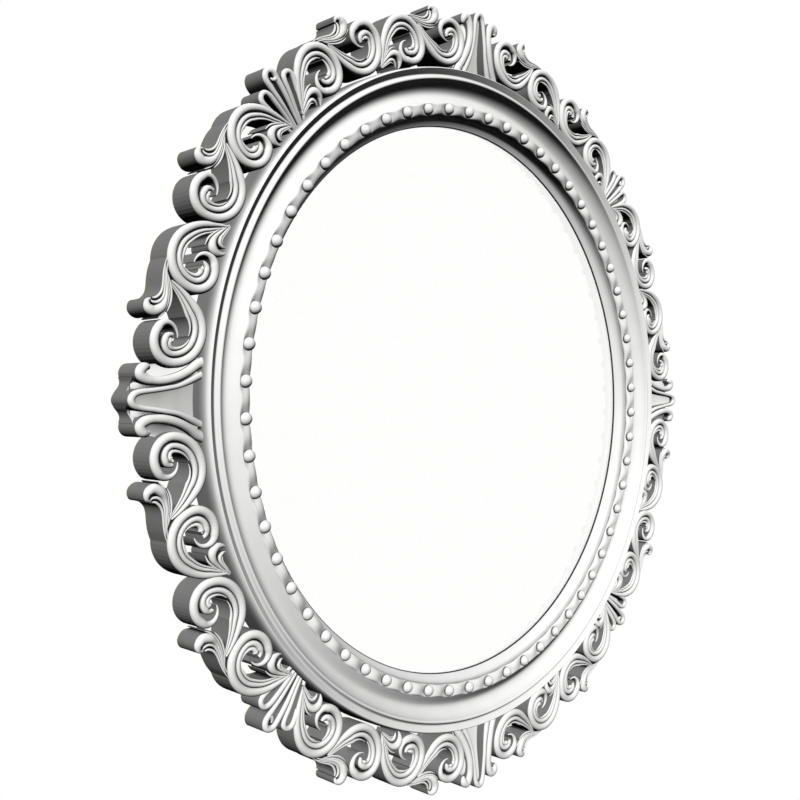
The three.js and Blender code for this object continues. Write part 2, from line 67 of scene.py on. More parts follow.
REBATE_RADIUS = 255
REBATE_DEPTH = 6.4
SIGHT_EDGE = 7.6
CHANNEL_RADII = (257.4, 267.8)
CHANNEL_FLOOR = 17
RIBBON_EDGE = 21.8
RIDGE_RADIUS = 1.3
RIDGE_FALL_DEG = 70
RIM_ROUND = (2.4, 14)
BACK_EDGE_ROUND = 0.8
# Each row: radius, and the slope there in degrees, which is positive where the section rises outward
LIP_SLOPES = ((250, 27), (254.4, 38), (257.4, 85))
COVE_SLOPES = (
    (267.8, -38),
    (271.4, -39),
    (274.7, -29),
    (277.2, 0),
    (279.1, 22),
    (281.2, 35),
    (283.6, 47),
    (285.6, 60),
    (287.2, 76),
)
GROOVE_SLOPES = ((291.5, -20), (292.1, 37))
RIM_SLOPE = 36
SLOPE_STEP = 0.4
RIDGE_STEPS = 10
RIM_STEPS = 12
TURNED_STEPS = 360
TOUCHING = 0.001
SHARP_ANGLE = math.radians(38)


def new_tree(name, inputs):
    """A geometry node tree with named inputs, each (label, kind of socket), and its in and out nodes."""
    tree = bpy.data.node_groups.new(name, "GeometryNodeTree")
    tree.interface.new_socket("Geometry", in_out="INPUT", socket_type="NodeSocketGeometry")
    for label, kind in inputs:
        tree.interface.new_socket(label, in_out="INPUT", socket_type=f"NodeSocket{kind}")
    tree.interface.new_socket("Geometry", in_out="OUTPUT", socket_type="NodeSocketGeometry")
    return tree, tree.nodes.new("NodeGroupInput"), tree.nodes.new("NodeGroupOutput")


def add_node(tree, kind, settings=None, **sockets):
    """A node with its settings, and with values or links on the inputs that the keywords name."""
    node = tree.nodes.new(kind)
    for key, value in (settings or {}).items():
        setattr(node, key, value)
    fill(tree, node, **sockets)
    return node


def fill(tree, node, **sockets):
    """Sets or links the inputs of a node that the keywords name."""
    for key, value in sockets.items():
        plug(tree, node.inputs[key.replace("_", " ")], value)


def plug(tree, socket, value):
    """Links an output to a socket, or sets the socket to a value."""
    if isinstance(value, bpy.types.NodeSocket):
        tree.links.new(value, socket)
    else:
        socket.default_value = value


def put_out(tree, outs, geometry, finish):
    """Ends a tree: its geometry is made real, gets its material and goes out."""
    whole = add_node(tree, "GeometryNodeRealizeInstances", Geometry=geometry).outputs[0]
    dressed = add_node(tree, "GeometryNodeSetMaterial", Geometry=whole, Material=finish)
    plug(tree, outs.inputs["Geometry"], dressed.outputs[0])


def reckon(tree, operation, *values):
    """The output of a Math node on up to three sockets or numbers."""
    node = tree.nodes.new("ShaderNodeMath")
    node.operation = operation
    for socket, value in zip(node.inputs, values):
        plug(tree, socket, value)
    return node.outputs[0]


def vector_of(tree, operation, first, second):
    """The vector that an operation makes of two others."""
    node = add_node(tree, "ShaderNodeVectorMath", {"operation": operation})
    plug(tree, node.inputs[0], first)
    plug(tree, node.inputs[1], second)
    return node.outputs[0]


def captured(tree, geometry, kind, value):
    """A geometry with a value kept on each of its points: the geometry and the kept value."""
    node = tree.nodes.new("GeometryNodeCaptureAttribute")
    node.capture_items.new(kind, "Kept")
    plug(tree, node.inputs["Geometry"], geometry)
    plug(tree, node.inputs["Kept"], value)
    return node.outputs["Geometry"], node.outputs["Kept"]


def put(name, mesh):
    """An object of a mesh, a camera or a lamp, linked to the scene."""
    piece = bpy.data.objects.new(name, mesh)
    bpy.context.scene.collection.objects.link(piece)
    return piece


def applied(piece, modifier):
    """Makes what a modifier gives the piece's plain mesh, and removes the modifier."""
    made = bpy.data.meshes.new_from_object(piece.evaluated_get(bpy.context.evaluated_depsgraph_get()))
    piece.modifiers.remove(modifier)
    piece.data = made
    return piece


def grown(name, mesh, tree, **values):
    """An object whose plain mesh is what a node tree makes of a base mesh."""
    piece = put(name, mesh)
    modifier = piece.modifiers.new("grow", "NODES")
    modifier.node_group = tree
    sockets = {item.name: item.identifier for item in tree.interface.items_tree if item.in_out == "INPUT"}
    for label, value in values.items():
        modifier[sockets[label.replace("_", " ")]] = value
    applied(piece, modifier)
    piece.data.name = name
    return piece


def closed_up(mesh):
    """Merges doubles, drops what is left of faces without area, and points the faces outwards."""
    edit = bmesh.new()
    edit.from_mesh(mesh)
    bmesh.ops.remove_doubles(edit, verts=edit.verts, dist=TOUCHING * MM)
    bmesh.ops.dissolve_degenerate(edit, edges=edit.edges, dist=TOUCHING * MM)
    bmesh.ops.recalc_face_normals(edit, faces=edit.faces)
    edit.to_mesh(mesh)
    edit.free()


def smoothed(mesh):
    """Shades a mesh smooth, apart from its sharp edges."""
    mesh.polygons.foreach_set("use_smooth", [True] * len(mesh.polygons))
    mesh.set_sharp_from_angle(angle=SHARP_ANGLE)


def wire_mesh(name, points, closed):
    """A mesh of edges from point to point, and from the last to the first where it is closed."""
    mesh = bpy.data.meshes.new(name)
    edges = [(i, i + 1) for i in range(len(points) - 1)]
    if closed:
        edges.append((len(points) - 1, 0))
    mesh.from_pydata(points, edges, [])
    return mesh


def swept_round(tree, section, steps):
    """Sweeps a section's mesh round a circle: the swept mesh, where each point was drawn, and its turn."""
    position = add_node(tree, "GeometryNodeInputPosition").outputs[0]
    index = add_node(tree, "GeometryNodeInputIndex").outputs[0]
    section = add_node(tree, "GeometryNodeMeshToCurve", Mesh=section).outputs[0]
    section, drawn = captured(tree, section, "VECTOR", position)
    circle = add_node(tree, "GeometryNodeCurvePrimitiveCircle", Resolution=steps).outputs[0]
    step = reckon(tree, "DIVIDE", 2 * math.pi, steps)
    circle, turn = captured(tree, circle, "FLOAT", reckon(tree, "MULTIPLY", index, step))
    swept = add_node(tree, "GeometryNodeCurveToMesh", Curve=circle, Profile_Curve=section).outputs[0]
    return swept, add_node(tree, "ShaderNodeSeparateXYZ", Vector=drawn).outputs, turn


def ring_place(tree, radius, depth, turn):
    """The place at a radius and a depth, and at a turn about the Y axis from the top."""
    return add_node(
        tree,
        "ShaderNodeCombineXYZ",
        X=reckon(tree, "MULTIPLY", radius, reckon(tree, "SINE", turn)),
        Y=depth,
        Z=reckon(tree, "MULTIPLY", radius, reckon(tree, "COSINE", turn)),
    ).outputs[0]


def turning_tree():
    """Turns a section, drawn as radius along X and depth along Y, once round the Y axis."""
    tree, ins, outs = new_tree("turned_section", [("Steps", "Int"), ("Finish", "Material")])
    swept, drawn, turn = swept_round(tree, ins.outputs["Geometry"], ins.outputs["Steps"])
    place = ring_place(tree, drawn["X"], drawn["Y"], turn)
    placed = add_node(tree, "GeometryNodeSetPosition", Geometry=swept, Position=place).outputs[0]
    put_out(tree, outs, placed, ins.outputs["Finish"])
    return tree


def ellipse_run(centre, radii, first, last, steps):
    """Points along an ellipse from one angle to another, in degrees."""
    angles = [math.radians(first + (last - first) * i / steps) for i in range(steps + 1)]
    return [(centre[0] + radii[0] * math.cos(a), centre[1] + radii[1] * math.sin(a)) for a in angles]


turned_section = turning_tree()


def turned(name, section, finish, steps=TURNED_STEPS, hollow=True):
    """A piece turned from a section of (radius, height above the back) points.
    The section is closed where the piece is hollow, and otherwise starts and ends on the axis."""
    points = [(radius * MM, -height * MM, 0) for radius, height in section]
    piece = grown(name, wire_mesh(name, points, hollow), turned_section, Steps=steps, Finish=finish)
    closed_up(piece.data)
    smoothed(piece.data)
    return piece


def new_material(name):
    """A material, its node tree, its Principled shader and its Object coordinates."""
    material = bpy.data.materials.new(name)
    material.use_nodes = True
    tree = material.node_tree
    shader = tree.nodes["Principled BSDF"]
    place = tree.nodes.new("ShaderNodeTexCoord").outputs["Object"]
    return material, tree, shader, place


def noise_group():
    """Soft noise from 0 to 1 on a surface, with its own grain size and contrast."""
    group = bpy.data.node_groups.new("soft_noise", "ShaderNodeTree")
    group.interface.new_socket("Place", in_out="INPUT", socket_type="NodeSocketVector")
    group.interface.new_socket("Scale", in_out="INPUT", socket_type="NodeSocketFloat")
    group.interface.new_socket("Contrast", in_out="INPUT", socket_type="NodeSocketFloat")
    group.interface.new_socket("Mask", in_out="OUTPUT", socket_type="NodeSocketFloat")
    given = group.nodes.new("NodeGroupInput").outputs
    out = group.nodes.new("NodeGroupOutput")
    noise = add_node(group, "ShaderNodeTexNoise", Vector=given["Place"], Scale=given["Scale"], Detail=4.0)
    noise.inputs["Roughness"].default_value = 0.55
    centred = reckon(group, "SUBTRACT", noise.outputs[0], 0.5)
    spread = reckon(group, "MULTIPLY_ADD", centred, given["Contrast"], 0.5)
    limited = add_node(group, "ShaderNodeClamp", Value=spread).outputs[0]
    group.links.new(limited, out.inputs["Mask"])
    return group


soft_noise = noise_group()


def noise_mask(tree, place, scale, contrast=2.0):
    """The soft noise on a material's own place vector."""
    node = add_node(tree, "ShaderNodeGroup", {"node_tree": soft_noise}, Place=place, Scale=scale)
    node.inputs["Contrast"].default_value = contrast
    return node.outputs["Mask"]


def blend_colours(tree, share, first, second):
    """A colour between two others."""
    node = tree.nodes.new("ShaderNodeMix")
    node.data_type = "RGBA"
    for socket, value in ((node.inputs[0], share), (node.inputs[6], first), (node.inputs[7], second)):
        plug(tree, socket, (*value, 1) if isinstance(value, tuple) else value)
    return node.outputs[2]


def between(tree, share, low, high):
    """A number between two others."""
    return reckon(tree, "MULTIPLY_ADD", share, high - low, low)


def smooth_share(tree, value, low, high):
    """A share that goes smoothly from 0 at one value to 1 at another."""
    node = add_node(tree, "ShaderNodeMapRange", {"interpolation_type": "SMOOTHSTEP"}, Value=value)
    fill(tree, node, From_Min=low, From_Max=high)
    return node.outputs[0]


def roughened(tree, shader, height, depth):
    """Gives a shader a fine relief of a height from 0 to 1, with its depth in millimetres."""
    bump = add_node(tree, "ShaderNodeBump", Strength=0.6, Distance=depth * MM, Height=height)
    tree.links.new(bump.outputs[0], shader.inputs["Normal"])


LEAF_COLOURS = ((0.545, 0.545, 0.541), (0.59, 0.59, 0.586))
LEAF_MOTTLE = 38
LEAF_SPECKLE = 650
LEAF_ROUGHNESS = (0.34, 0.43)
LEAF_GLOSS = 0.06
LEAF_RELIEF = 0.03
# Painted shade: a near-black colour laid into the recesses that ambient occlusion finds within the reach
# below, and at the sight edge
PAINTED_SHADE_COLOUR = (0.03, 0.03, 0.03)
RECESS_REACH = 5
RECESS_SHARES = (0.2, 0.62)
# Painted shade: faces turned away from the front, such as the upright sides, are darkened down to this share
# of their colour
WALL_TURN = 0.3
WALL_PAINTED_SHADE = 0.22
# Painted shade: a dark band this wide at the sight edge
SIGHT_SHADE_WIDTH = 0.8
BACK_BAND = 0.4
WOOD_COLOURS = ((0.4, 0.29, 0.175), (0.56, 0.43, 0.28))
WOOD_ROUGHER = 0.3
GRAIN_STRETCH = (8, 60, 120)
GRAIN_SCALE = 4
GRAIN_CONTRAST = 2.6
SEGMENT_COUNT = 12


def silver_material():
    """Satin silver leaf over gesso, with painted shade in the recesses, on the upright sides and at the sight
    edge.
    The back is bare limewood, with the grain along each segment that the ring is glued up from."""
    material, tree, shader, place = new_material("silver_leaf")
    leaf = blend_colours(tree, noise_mask(tree, place, LEAF_MOTTLE), *LEAF_COLOURS)
    own_faces = {"only_local": True, "samples": 6}
    # Painted shade: the leaf darkens towards black in creases and recesses between the rolls
    hollow = add_node(tree, "ShaderNodeAmbientOcclusion", own_faces, Distance=RECESS_REACH * MM)
    in_the_open = smooth_share(tree, hollow.outputs["AO"], *RECESS_SHARES)
    leaf_with_painted_shade = blend_colours(tree, in_the_open, PAINTED_SHADE_COLOUR, leaf)
    # Painted shade: the leaf darkens on faces that turn from the front; the same share also sets the coat's
    # gloss
    normal = tree.nodes["Texture Coordinate"].outputs["Normal"]
    facing = add_node(tree, "ShaderNodeSeparateXYZ", Vector=normal).outputs
    front_facing_share = smooth_share(tree, facing["Y"], 0, -WALL_TURN)
    leaf_with_painted_shade = blend_colours(tree, between(tree, front_facing_share, WALL_PAINTED_SHADE, 1), (0.0, 0.0, 0.0), leaf_with_painted_shade)
    # Painted shade: a dark band at the sight edge, inside this radius
    flat = vector_of(tree, "MULTIPLY", place, (1, 0, 1))
    radius = add_node(tree, "ShaderNodeVectorMath", {"operation": "LENGTH"}, Vector=flat).outputs["Value"]
    in_sight_shade = reckon(tree, "LESS_THAN", radius, (SIGHT_RADIUS + SIGHT_SHADE_WIDTH) * MM)
    leaf_with_painted_shade = blend_colours(tree, in_sight_shade, leaf_with_painted_shade, PAINTED_SHADE_COLOUR)

    parts = add_node(tree, "ShaderNodeSeparateXYZ", Vector=place).outputs
    segment = 2 * math.pi / SEGMENT_COUNT
    turn = reckon(tree, "DIVIDE", reckon(tree, "ARCTAN2", parts["X"], parts["Z"]), segment)
    turn = reckon(tree, "MULTIPLY", reckon(tree, "ROUND", turn), -segment)
    about = {"rotation_type": "Y_AXIS"}
    in_segment = add_node(tree, "ShaderNodeVectorRotate", about, Vector=place, Angle=turn).outputs[0]
    stretched = add_node(tree, "ShaderNodeMapping", Vector=in_segment, Scale=GRAIN_STRETCH).outputs[0]
    grain = noise_mask(tree, stretched, GRAIN_SCALE, GRAIN_CONTRAST)
    wood = blend_colours(tree, grain, *WOOD_COLOURS)
    at_back = reckon(tree, "GREATER_THAN", parts["Y"], -BACK_BAND * MM)

    speckle = noise_mask(tree, place, LEAF_SPECKLE)
    polish = between(tree, speckle, *LEAF_ROUGHNESS)
    fill(
        tree,
        shader,
        Base_Color=blend_colours(tree, at_back, leaf_with_painted_shade, wood),
        Roughness=reckon(tree, "MULTIPLY_ADD", at_back, WOOD_ROUGHER, polish),
        Coat_Weight=between(tree, front_facing_share, 0, LEAF_GLOSS),
        Coat_Roughness=0.35,
        Specular_IOR_Level=0,
    )
    roughened(tree, shader, speckle, LEAF_RELIEF)
    return material


silver_leaf = silver_material()


def sloped_run(start, width, first, last, steps):
    """Points outward over a width from a start. The slope goes evenly from one angle to another."""
    points = [start]
    for step in range(steps):
        slope = math.radians(first + (last - first) * (step + 0.5) / steps)
        radius, height = points[-1]
        points.append((radius + width / steps, height + width / steps * math.tan(slope)))
    return points


def moulded_run(start, rows):
    """Points outward from a start, through rows of (radius, slope)."""
    points = [start]
    for (near, first), (far, last) in zip(rows, rows[1:]):
        steps = max(2, round((far - near) / SLOPE_STEP))
        points += sloped_run(points[-1], far - near, first, last, steps)[1:]
    return points


lip = moulded_run((SIGHT_RADIUS, SIGHT_EDGE), LIP_SLOPES)
cove = moulded_run((CHANNEL_RADII[1], RIBBON_EDGE), COVE_SLOPES)
ridge_slope = COVE_SLOPES[-1][1]
ridge_centre = (
    cove[-1][0] + RIDGE_RADIUS * math.sin(math.radians(ridge_slope)),
    cove[-1][1] - RIDGE_RADIUS * math.cos(math.radians(ridge_slope)),
)
ridge_radii = (RIDGE_RADIUS, RIDGE_RADIUS)
ridge = ellipse_run(ridge_centre, ridge_radii, 90 + ridge_slope, 90 - RIDGE_FALL_DEG, RIDGE_STEPS)
rim_rows = [(ridge[-1][0], -RIDGE_FALL_DEG), *GROOVE_SLOPES, (ring_radius - RIM_ROUND[0], RIM_SLOPE)]
rim = moulded_run(ridge[-1], rim_rows)
rim_edge = ellipse_run((rim[-1][0], rim[-1][1] - RIM_ROUND[1]), RIM_ROUND, 90, 0, RIM_STEPS)
ring_section = [
    (REBATE_RADIUS, 0),
    (REBATE_RADIUS, REBATE_DEPTH),
    (SIGHT_RADIUS, REBATE_DEPTH),
    *lip,
    (CHANNEL_RADII[0], CHANNEL_FLOOR),
    (CHANNEL_RADII[1], CHANNEL_FLOOR),
    *cove[:-1],
    *ridge[:-1],
    *rim[:-1],
    *rim_edge,
    (ring_radius, BACK_EDGE_ROUND),
    (ring_radius - BACK_EDGE_ROUND, 0),
]
moulding_ring = turned("turned_moulding", ring_section, silver_leaf)
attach(moulding_ring, "frame")
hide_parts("moulding_ring")

# Bead course: 60 beads on a ribbon, carved from one hoop of limewood and glued in the ring's channel.
# The ribbon dips at each bead and swells between them. It is silvered with the ring.
BEAD_COUNT = 60
BEAD_RADIUS = 5
BEAD_HEIGHT = 21.4
BEAD_SEGMENTS = 28
BEAD_RINGS = 16
RIBBON_STEPS_PER_BEAD = 20
CHANNEL_FIT = 0.02
bead_circle = sum(CHANNEL_RADII) / 2
half_channel = bead_circle - CHANNEL_RADII[0] - CHANNEL_FIT
ribbon_foot = CHANNEL_FLOOR + CHANNEL_FIT
lip_top = lip[-1][1]
# Each row: share of the half width, height midway between beads, height at a bead
RIBBON_SECTION = (
    (-1, ribbon_foot, ribbon_foot),
    (-1, lip_top, lip_top),
    (-0.98, 19.6, 19.2),
    (-0.92, 20.8, 19.7),
    (-0.8, 21.6, 19.9),
    (-0.62, 22.2, 20),
    (-0.4, 22.7, 20),
    (-0.18, 23, 20),
    (0.05, 23.1, 20),
    (0.28, 23.1, 20),
    (0.5, 23.1, 20.5),
    (0.7, 23, 21),
    (0.84, 22.8, 21.4),
    (0.94, 22.3, 21.7),
    (1, RIBBON_EDGE, RIBBON_EDGE),
    (1, ribbon_foot, ribbon_foot),
)


def bead_tree():
    """A ribbon along the bead circle with a bead on each of its dips. Its section holds the share of the half
    width along X, and the depths between the beads and at a bead along Y and Z."""
    labels = ["Circle", "Half Width", "Bead Radius", "Bead Height"]
    inputs = [("Beads", "Int"), ("Steps", "Int"), ("Finish", "Material")]
    tree, ins, outs = new_tree("bead_course", inputs + [(label, "Float") for label in labels])
    given = ins.outputs
    around = reckon(tree, "MULTIPLY", given["Beads"], given["Steps"])
    swept, drawn, turn = swept_round(tree, given["Geometry"], around)
    wave = reckon(tree, "COSINE", reckon(tree, "MULTIPLY", turn, given["Beads"]))
    dip = reckon(tree, "MULTIPLY_ADD", wave, -0.5, 0.5)
    fall = reckon(tree, "SUBTRACT", drawn["Z"], drawn["Y"])
    depth = reckon(tree, "MULTIPLY_ADD", dip, fall, drawn["Y"])
    radius = reckon(tree, "MULTIPLY_ADD", drawn["X"], given["Half Width"], given["Circle"])
    place = ring_place(tree, radius, depth, turn)
    ribbon = add_node(tree, "GeometryNodeSetPosition", Geometry=swept, Position=place).outputs[0]

    seats = add_node(tree, "GeometryNodeMeshLine", Count=given["Beads"]).outputs[0]
    index = add_node(tree, "GeometryNodeInputIndex").outputs[0]
    pitch = reckon(tree, "DIVIDE", 2 * math.pi, given["Beads"])
    bead_turn = reckon(tree, "MULTIPLY", reckon(tree, "ADD", index, 0.5), pitch)
    seat = ring_place(tree, given["Circle"], reckon(tree, "MULTIPLY", given["Bead Height"], -1), bead_turn)
    seats = add_node(tree, "GeometryNodeSetPosition", Geometry=seats, Position=seat).outputs[0]
    ball = add_node(tree, "GeometryNodeMeshUVSphere", Segments=BEAD_SEGMENTS, Rings=BEAD_RINGS)
    plug(tree, ball.inputs["Radius"], given["Bead Radius"])
    beads = add_node(tree, "GeometryNodeInstanceOnPoints", Points=seats, Instance=ball.outputs[0])
    beads.inputs["Rotation"].default_value = (math.pi / 2, 0, 0)
    beads = add_node(tree, "GeometryNodeRealizeInstances", Geometry=beads.outputs[0]).outputs[0]
    carved = add_node(tree, "GeometryNodeMeshBoolean", {"operation": "UNION", "solver": "MANIFOLD"})
    tree.links.new(ribbon, carved.inputs["Mesh 2"])
    tree.links.new(beads, carved.inputs["Mesh 2"])
    put_out(tree, outs, carved.outputs[0], given["Finish"])
    return tree


ribbon_points = [(share, -amid * MM, -at_bead * MM) for share, amid, at_bead in reversed(RIBBON_SECTION)]
bead_course = grown(
    "beaded_ribbon",
    wire_mesh("beaded_ribbon", ribbon_points, True),
    bead_tree(),
    Beads=BEAD_COUNT,
    Steps=RIBBON_STEPS_PER_BEAD,
    Finish=silver_leaf,
    Circle=bead_circle * MM,
    Half_Width=half_channel * MM,
    Bead_Radius=BEAD_RADIUS * MM,
    Bead_Height=BEAD_HEIGHT * MM,
)
closed_up(bead_course.data)
smoothed(bead_course.data)
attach(bead_course, "frame")
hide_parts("bead_course")

# Fans: 4 three-tongued fans of limewood on the diagonals, carved in the round and silvered with the ring.
# Each is keyed and glued to the ring's edge, and the scroll units on both sides are cut to fit it.
AXIS_COUNT = 4
# The border's spacing, in grid steps along the ring's edge
PALMETTE_TO_UNIT = 67.7
UNIT_TO_UNIT = 100
UNIT_TO_FAN = 66.7
BORDER_DEPTH = 22
ROLL_RISE = 3.4
ROLL_STEPS = 10
STROKE_STEPS = 6
THINNEST = 0.4
NEIGHBOUR_GAP = 0.05
UPRIGHT = 0.06
FLAT_RISE = 0.4
FAN_HOOK_LIFT = 0.6
# Each row: grid steps along and up from the foot, the width in grid steps, and the lift in millimetres
FAN_MIDDLE = (
    (2.2, -3, 3, -4.4), (2.6, 8, 3.4, -2.8), (3.8, 22, 4, -0.7), (4.9, 36, 4.6, 0), (4.3, 43, 5, 0),
    (0, 46, 5.2, 0),
)
FAN_MIDDLE_WEB = ((0, -3, 5, -7), (0, 14, 7, -6.5), (0, 30, 8, -5.5), (0, 43, 8, -4))
FAN_HOOK = ((4.4, 39, 3), (2.4, 37.6, 3.2), (0.2, 38.8, 2.6), (-0.4, 40.8, 1))
FAN_SIDE = (
    (1.8, -3, 3, -4.4), (3.2, 8, 3.8, -2.8), (4.2, 22, 4.2, -0.7), (4.8, 31, 4.4, 0),
    (3.5, 35.6, 4.4, 0), (0, 37.2, 4.4, 0),
)
FAN_SIDE_WEB = ((0, -3, 4, -5), (0, 20, 8, -8), (0, 34, 8, -7))
FAN_SIDE_OUT = 7
FAN_SIDE_LEAN_DEG = 14
quarter = 2 * math.pi / AXIS_COUNT
step_angle = math.pi / AXIS_COUNT / (PALMETTE_TO_UNIT + UNIT_TO_UNIT + UNIT_TO_FAN)
grid = ring_radius * step_angle


def strand_tree():
    """A closed roll with upright sides along a line of points that lie on its outer edge.
    Each point holds the way across, the breadth, the height of the sides and the rise of the roll."""
    inputs = [("Roll Steps", "Int"), ("Tilt", "Float"), ("Finish", "Material")]
    tree, ins, outs = new_tree("carved_strand", inputs)
    given = ins.outputs

    def held(name, kind):
        """A value that each point of the line holds."""
        return add_node(tree, "GeometryNodeInputNamedAttribute", {"data_type": kind}, Name=name).outputs[0]

    position = add_node(tree, "GeometryNodeInputPosition").outputs[0]
    index = add_node(tree, "GeometryNodeInputIndex").outputs[0]
    line = add_node(tree, "GeometryNodeMeshToCurve", Mesh=given["Geometry"]).outputs[0]
    line, edge = captured(tree, line, "VECTOR", position)
    # The section has a point more than the roll has steps, and a foot on each side
    count = reckon(tree, "ADD", given["Roll Steps"], 3)
    section = add_node(tree, "GeometryNodeMeshLine", Count=count).outputs[0]
    section = add_node(tree, "GeometryNodeMeshToCurve", Mesh=section).outputs[0]
    section = add_node(tree, "GeometryNodeSetSplineCyclic", Geometry=section, Cyclic=True).outputs[0]
    section, number = captured(tree, section, "FLOAT", index)
    swept = add_node(tree, "GeometryNodeCurveToMesh", Curve=line, Profile_Curve=section, Fill_Caps=True)
    over = reckon(tree, "MINIMUM", number, given["Roll Steps"])
    angle = reckon(tree, "MULTIPLY", math.pi, reckon(tree, "DIVIDE", over, given["Roll Steps"]))
    past = reckon(tree, "MAXIMUM", reckon(tree, "SUBTRACT", number, given["Roll Steps"]), 0)
    back_at_edge = reckon(tree, "GREATER_THAN", past, 1.5)
    at_foot = reckon(tree, "GREATER_THAN", past, 0.5)
    passed = reckon(tree, "MULTIPLY_ADD", reckon(tree, "COSINE", angle), -0.5, 0.5)
    share = reckon(tree, "SUBTRACT", passed, back_at_edge)
    slope = reckon(tree, "MULTIPLY_ADD", share, given["Tilt"], held("spring", "FLOAT"))
    lift = reckon(tree, "MULTIPLY_ADD", reckon(tree, "SINE", angle), held("rise", "FLOAT"), slope)
    height = reckon(tree, "MULTIPLY", lift, reckon(tree, "SUBTRACT", 1.0, at_foot))
    reach = reckon(tree, "MULTIPLY", share, held("breadth", "FLOAT"))
    way = held("way", "FLOAT_VECTOR")
    across = add_node(tree, "ShaderNodeVectorMath", {"operation": "SCALE"}, Vector=way, Scale=reach)
    front = add_node(tree, "ShaderNodeCombineXYZ", Y=reckon(tree, "MULTIPLY", height, -1))
    place = vector_of(tree, "ADD", edge, vector_of(tree, "ADD", across.outputs[0], front.outputs[0]))
    carved = add_node(tree, "GeometryNodeSetPosition", Geometry=swept.outputs[0], Position=place)
    put_out(tree, outs, carved.outputs[0], given["Finish"])
    return tree


carved_strand = strand_tree()


def stroke(points, on_edge=False):
    """Stations of a strand along a smooth line through (along, up, width, lift) points, which lie in the
    middle of the strand or on its outer edge. A point without a lift has none."""
    points = [(*point, 0)[:4] for point in points]
    ends = [points[0], *points, points[-1]]
    dense = []
    for a, b, c, d in zip(ends, ends[1:], ends[2:], ends[3:]):
        for step in range(STROKE_STEPS):
            t = step / STROKE_STEPS
            weights = (
                -t + 2 * t * t - t**3,
                2 - 5 * t * t + 3 * t**3,
                t + 4 * t * t - 3 * t**3,
                t**3 - t * t,
            )
            dense.append([sum(w * p[k] for w, p in zip(weights, (a, b, c, d))) / 2 for k in range(4)])
    dense.append(points[-1])
    stations = []
    for i, (x, up, width, lift) in enumerate(dense):
        before, after = dense[max(0, i - 1)], dense[min(len(dense) - 1, i + 1)]
        way = Vector((before[1] - after[1], after[0] - before[0])).normalized()
        back = 0 if on_edge else width / 2
        stations.append((Vector((x, up)) - way * back, way, width, lift))
    return stations


def carve(stations, spring=BORDER_DEPTH, rise=ROLL_RISE, tilt=0):
    """An object of one strand, with its sides' height, its roll's rise, and its inner side's extra height."""
    points = [(at.x * grid * MM, 0, (ring_radius + at.y * grid) * MM) for at, way, width, lift in stations]
    mesh = wire_mesh("strand", points, False)
    breadths = [max(width, THINNEST) * grid for at, way, width, lift in stations]
    held = {
        "breadth": [breadth * MM for breadth in breadths],
        "spring": [(spring + lift) * MM for at, way, width, lift in stations],
        "rise": [min(rise, breadth / 2) * MM for breadth in breadths],
    }
    for name, values in held.items():
        mesh.attributes.new(name, "FLOAT", "POINT").data.foreach_set("value", values)
    ways = [number for at, way, width, lift in stations for number in (way.x, 0, way.y)]
    mesh.attributes.new("way", "FLOAT_VECTOR", "POINT").data.foreach_set("vector", ways)
    strand = grown("strand", mesh, carved_strand, Roll_Steps=ROLL_STEPS, Tilt=tilt * MM, Finish=silver_leaf)
    closed_up(strand.data)
    return strand


def cut_or_join(piece, operation, others):
    """Joins other objects to a piece, or cuts them out of it, and removes them."""
    group = bpy.data.collections.new("others")
    for other in others:
        group.objects.link(other)
    modifier = piece.modifiers.new(operation, "BOOLEAN")
    modifier.operation = operation
    modifier.solver = "MANIFOLD"
    modifier.operand_type = "COLLECTION"
    modifier.collection = group
    applied(piece, modifier)
    for other in others:
        bpy.data.objects.remove(other)
    bpy.data.collections.remove(group)
    return piece


def joined(strands):
    """One object of strands that overlap."""
    return cut_or_join(strands[0], "UNION", strands[1:])


def prism(outline, depth):
    """An upright block of an outline of (along, up) points, which stands out past the border's depth."""
    edit = bmesh.new()
    points = [(at.x * grid * MM, depth * MM, (ring_radius + at.y * grid) * MM) for at in outline]
    face = edit.faces.new([edit.verts.new(point) for point in points])
    far = bmesh.ops.extrude_face_region(edit, geom=[face])["geom"]
    moved = [part for part in far if isinstance(part, bmesh.types.BMVert)]
    bmesh.ops.translate(edit, verts=moved, vec=(0, -3 * depth * MM, 0))
    bmesh.ops.recalc_face_normals(edit, faces=edit.faces)
    mesh = bpy.data.meshes.new("block")
    edit.to_mesh(mesh)
    edit.free()
    return put("block", mesh)


def ring_block():
    """A disc a little larger than the ring, which fits a border piece to the ring's edge."""
    radius = (ring_radius + NEIGHBOUR_GAP) / grid
    sides = [2 * math.pi * i / TURNED_STEPS for i in range(TURNED_STEPS)]
    middle = Vector((0, -ring_radius / grid))
    return prism([middle + Vector((math.sin(a), math.cos(a))) * radius for a in sides], 2 * BORDER_DEPTH)


def hairpin(points):
    """A line up one side, over the tip and down the other."""
    return [*points, *[(-x, *rest) for x, *rest in reversed(points[:-1])]]


def mirror_copy(piece):
    """The same piece on the other side of its axis."""
    mesh = piece.data.copy()
    mesh.transform(Matrix.Diagonal((-1, 1, 1, 1)))
    mesh.flip_normals()
    return put(piece.name, mesh)


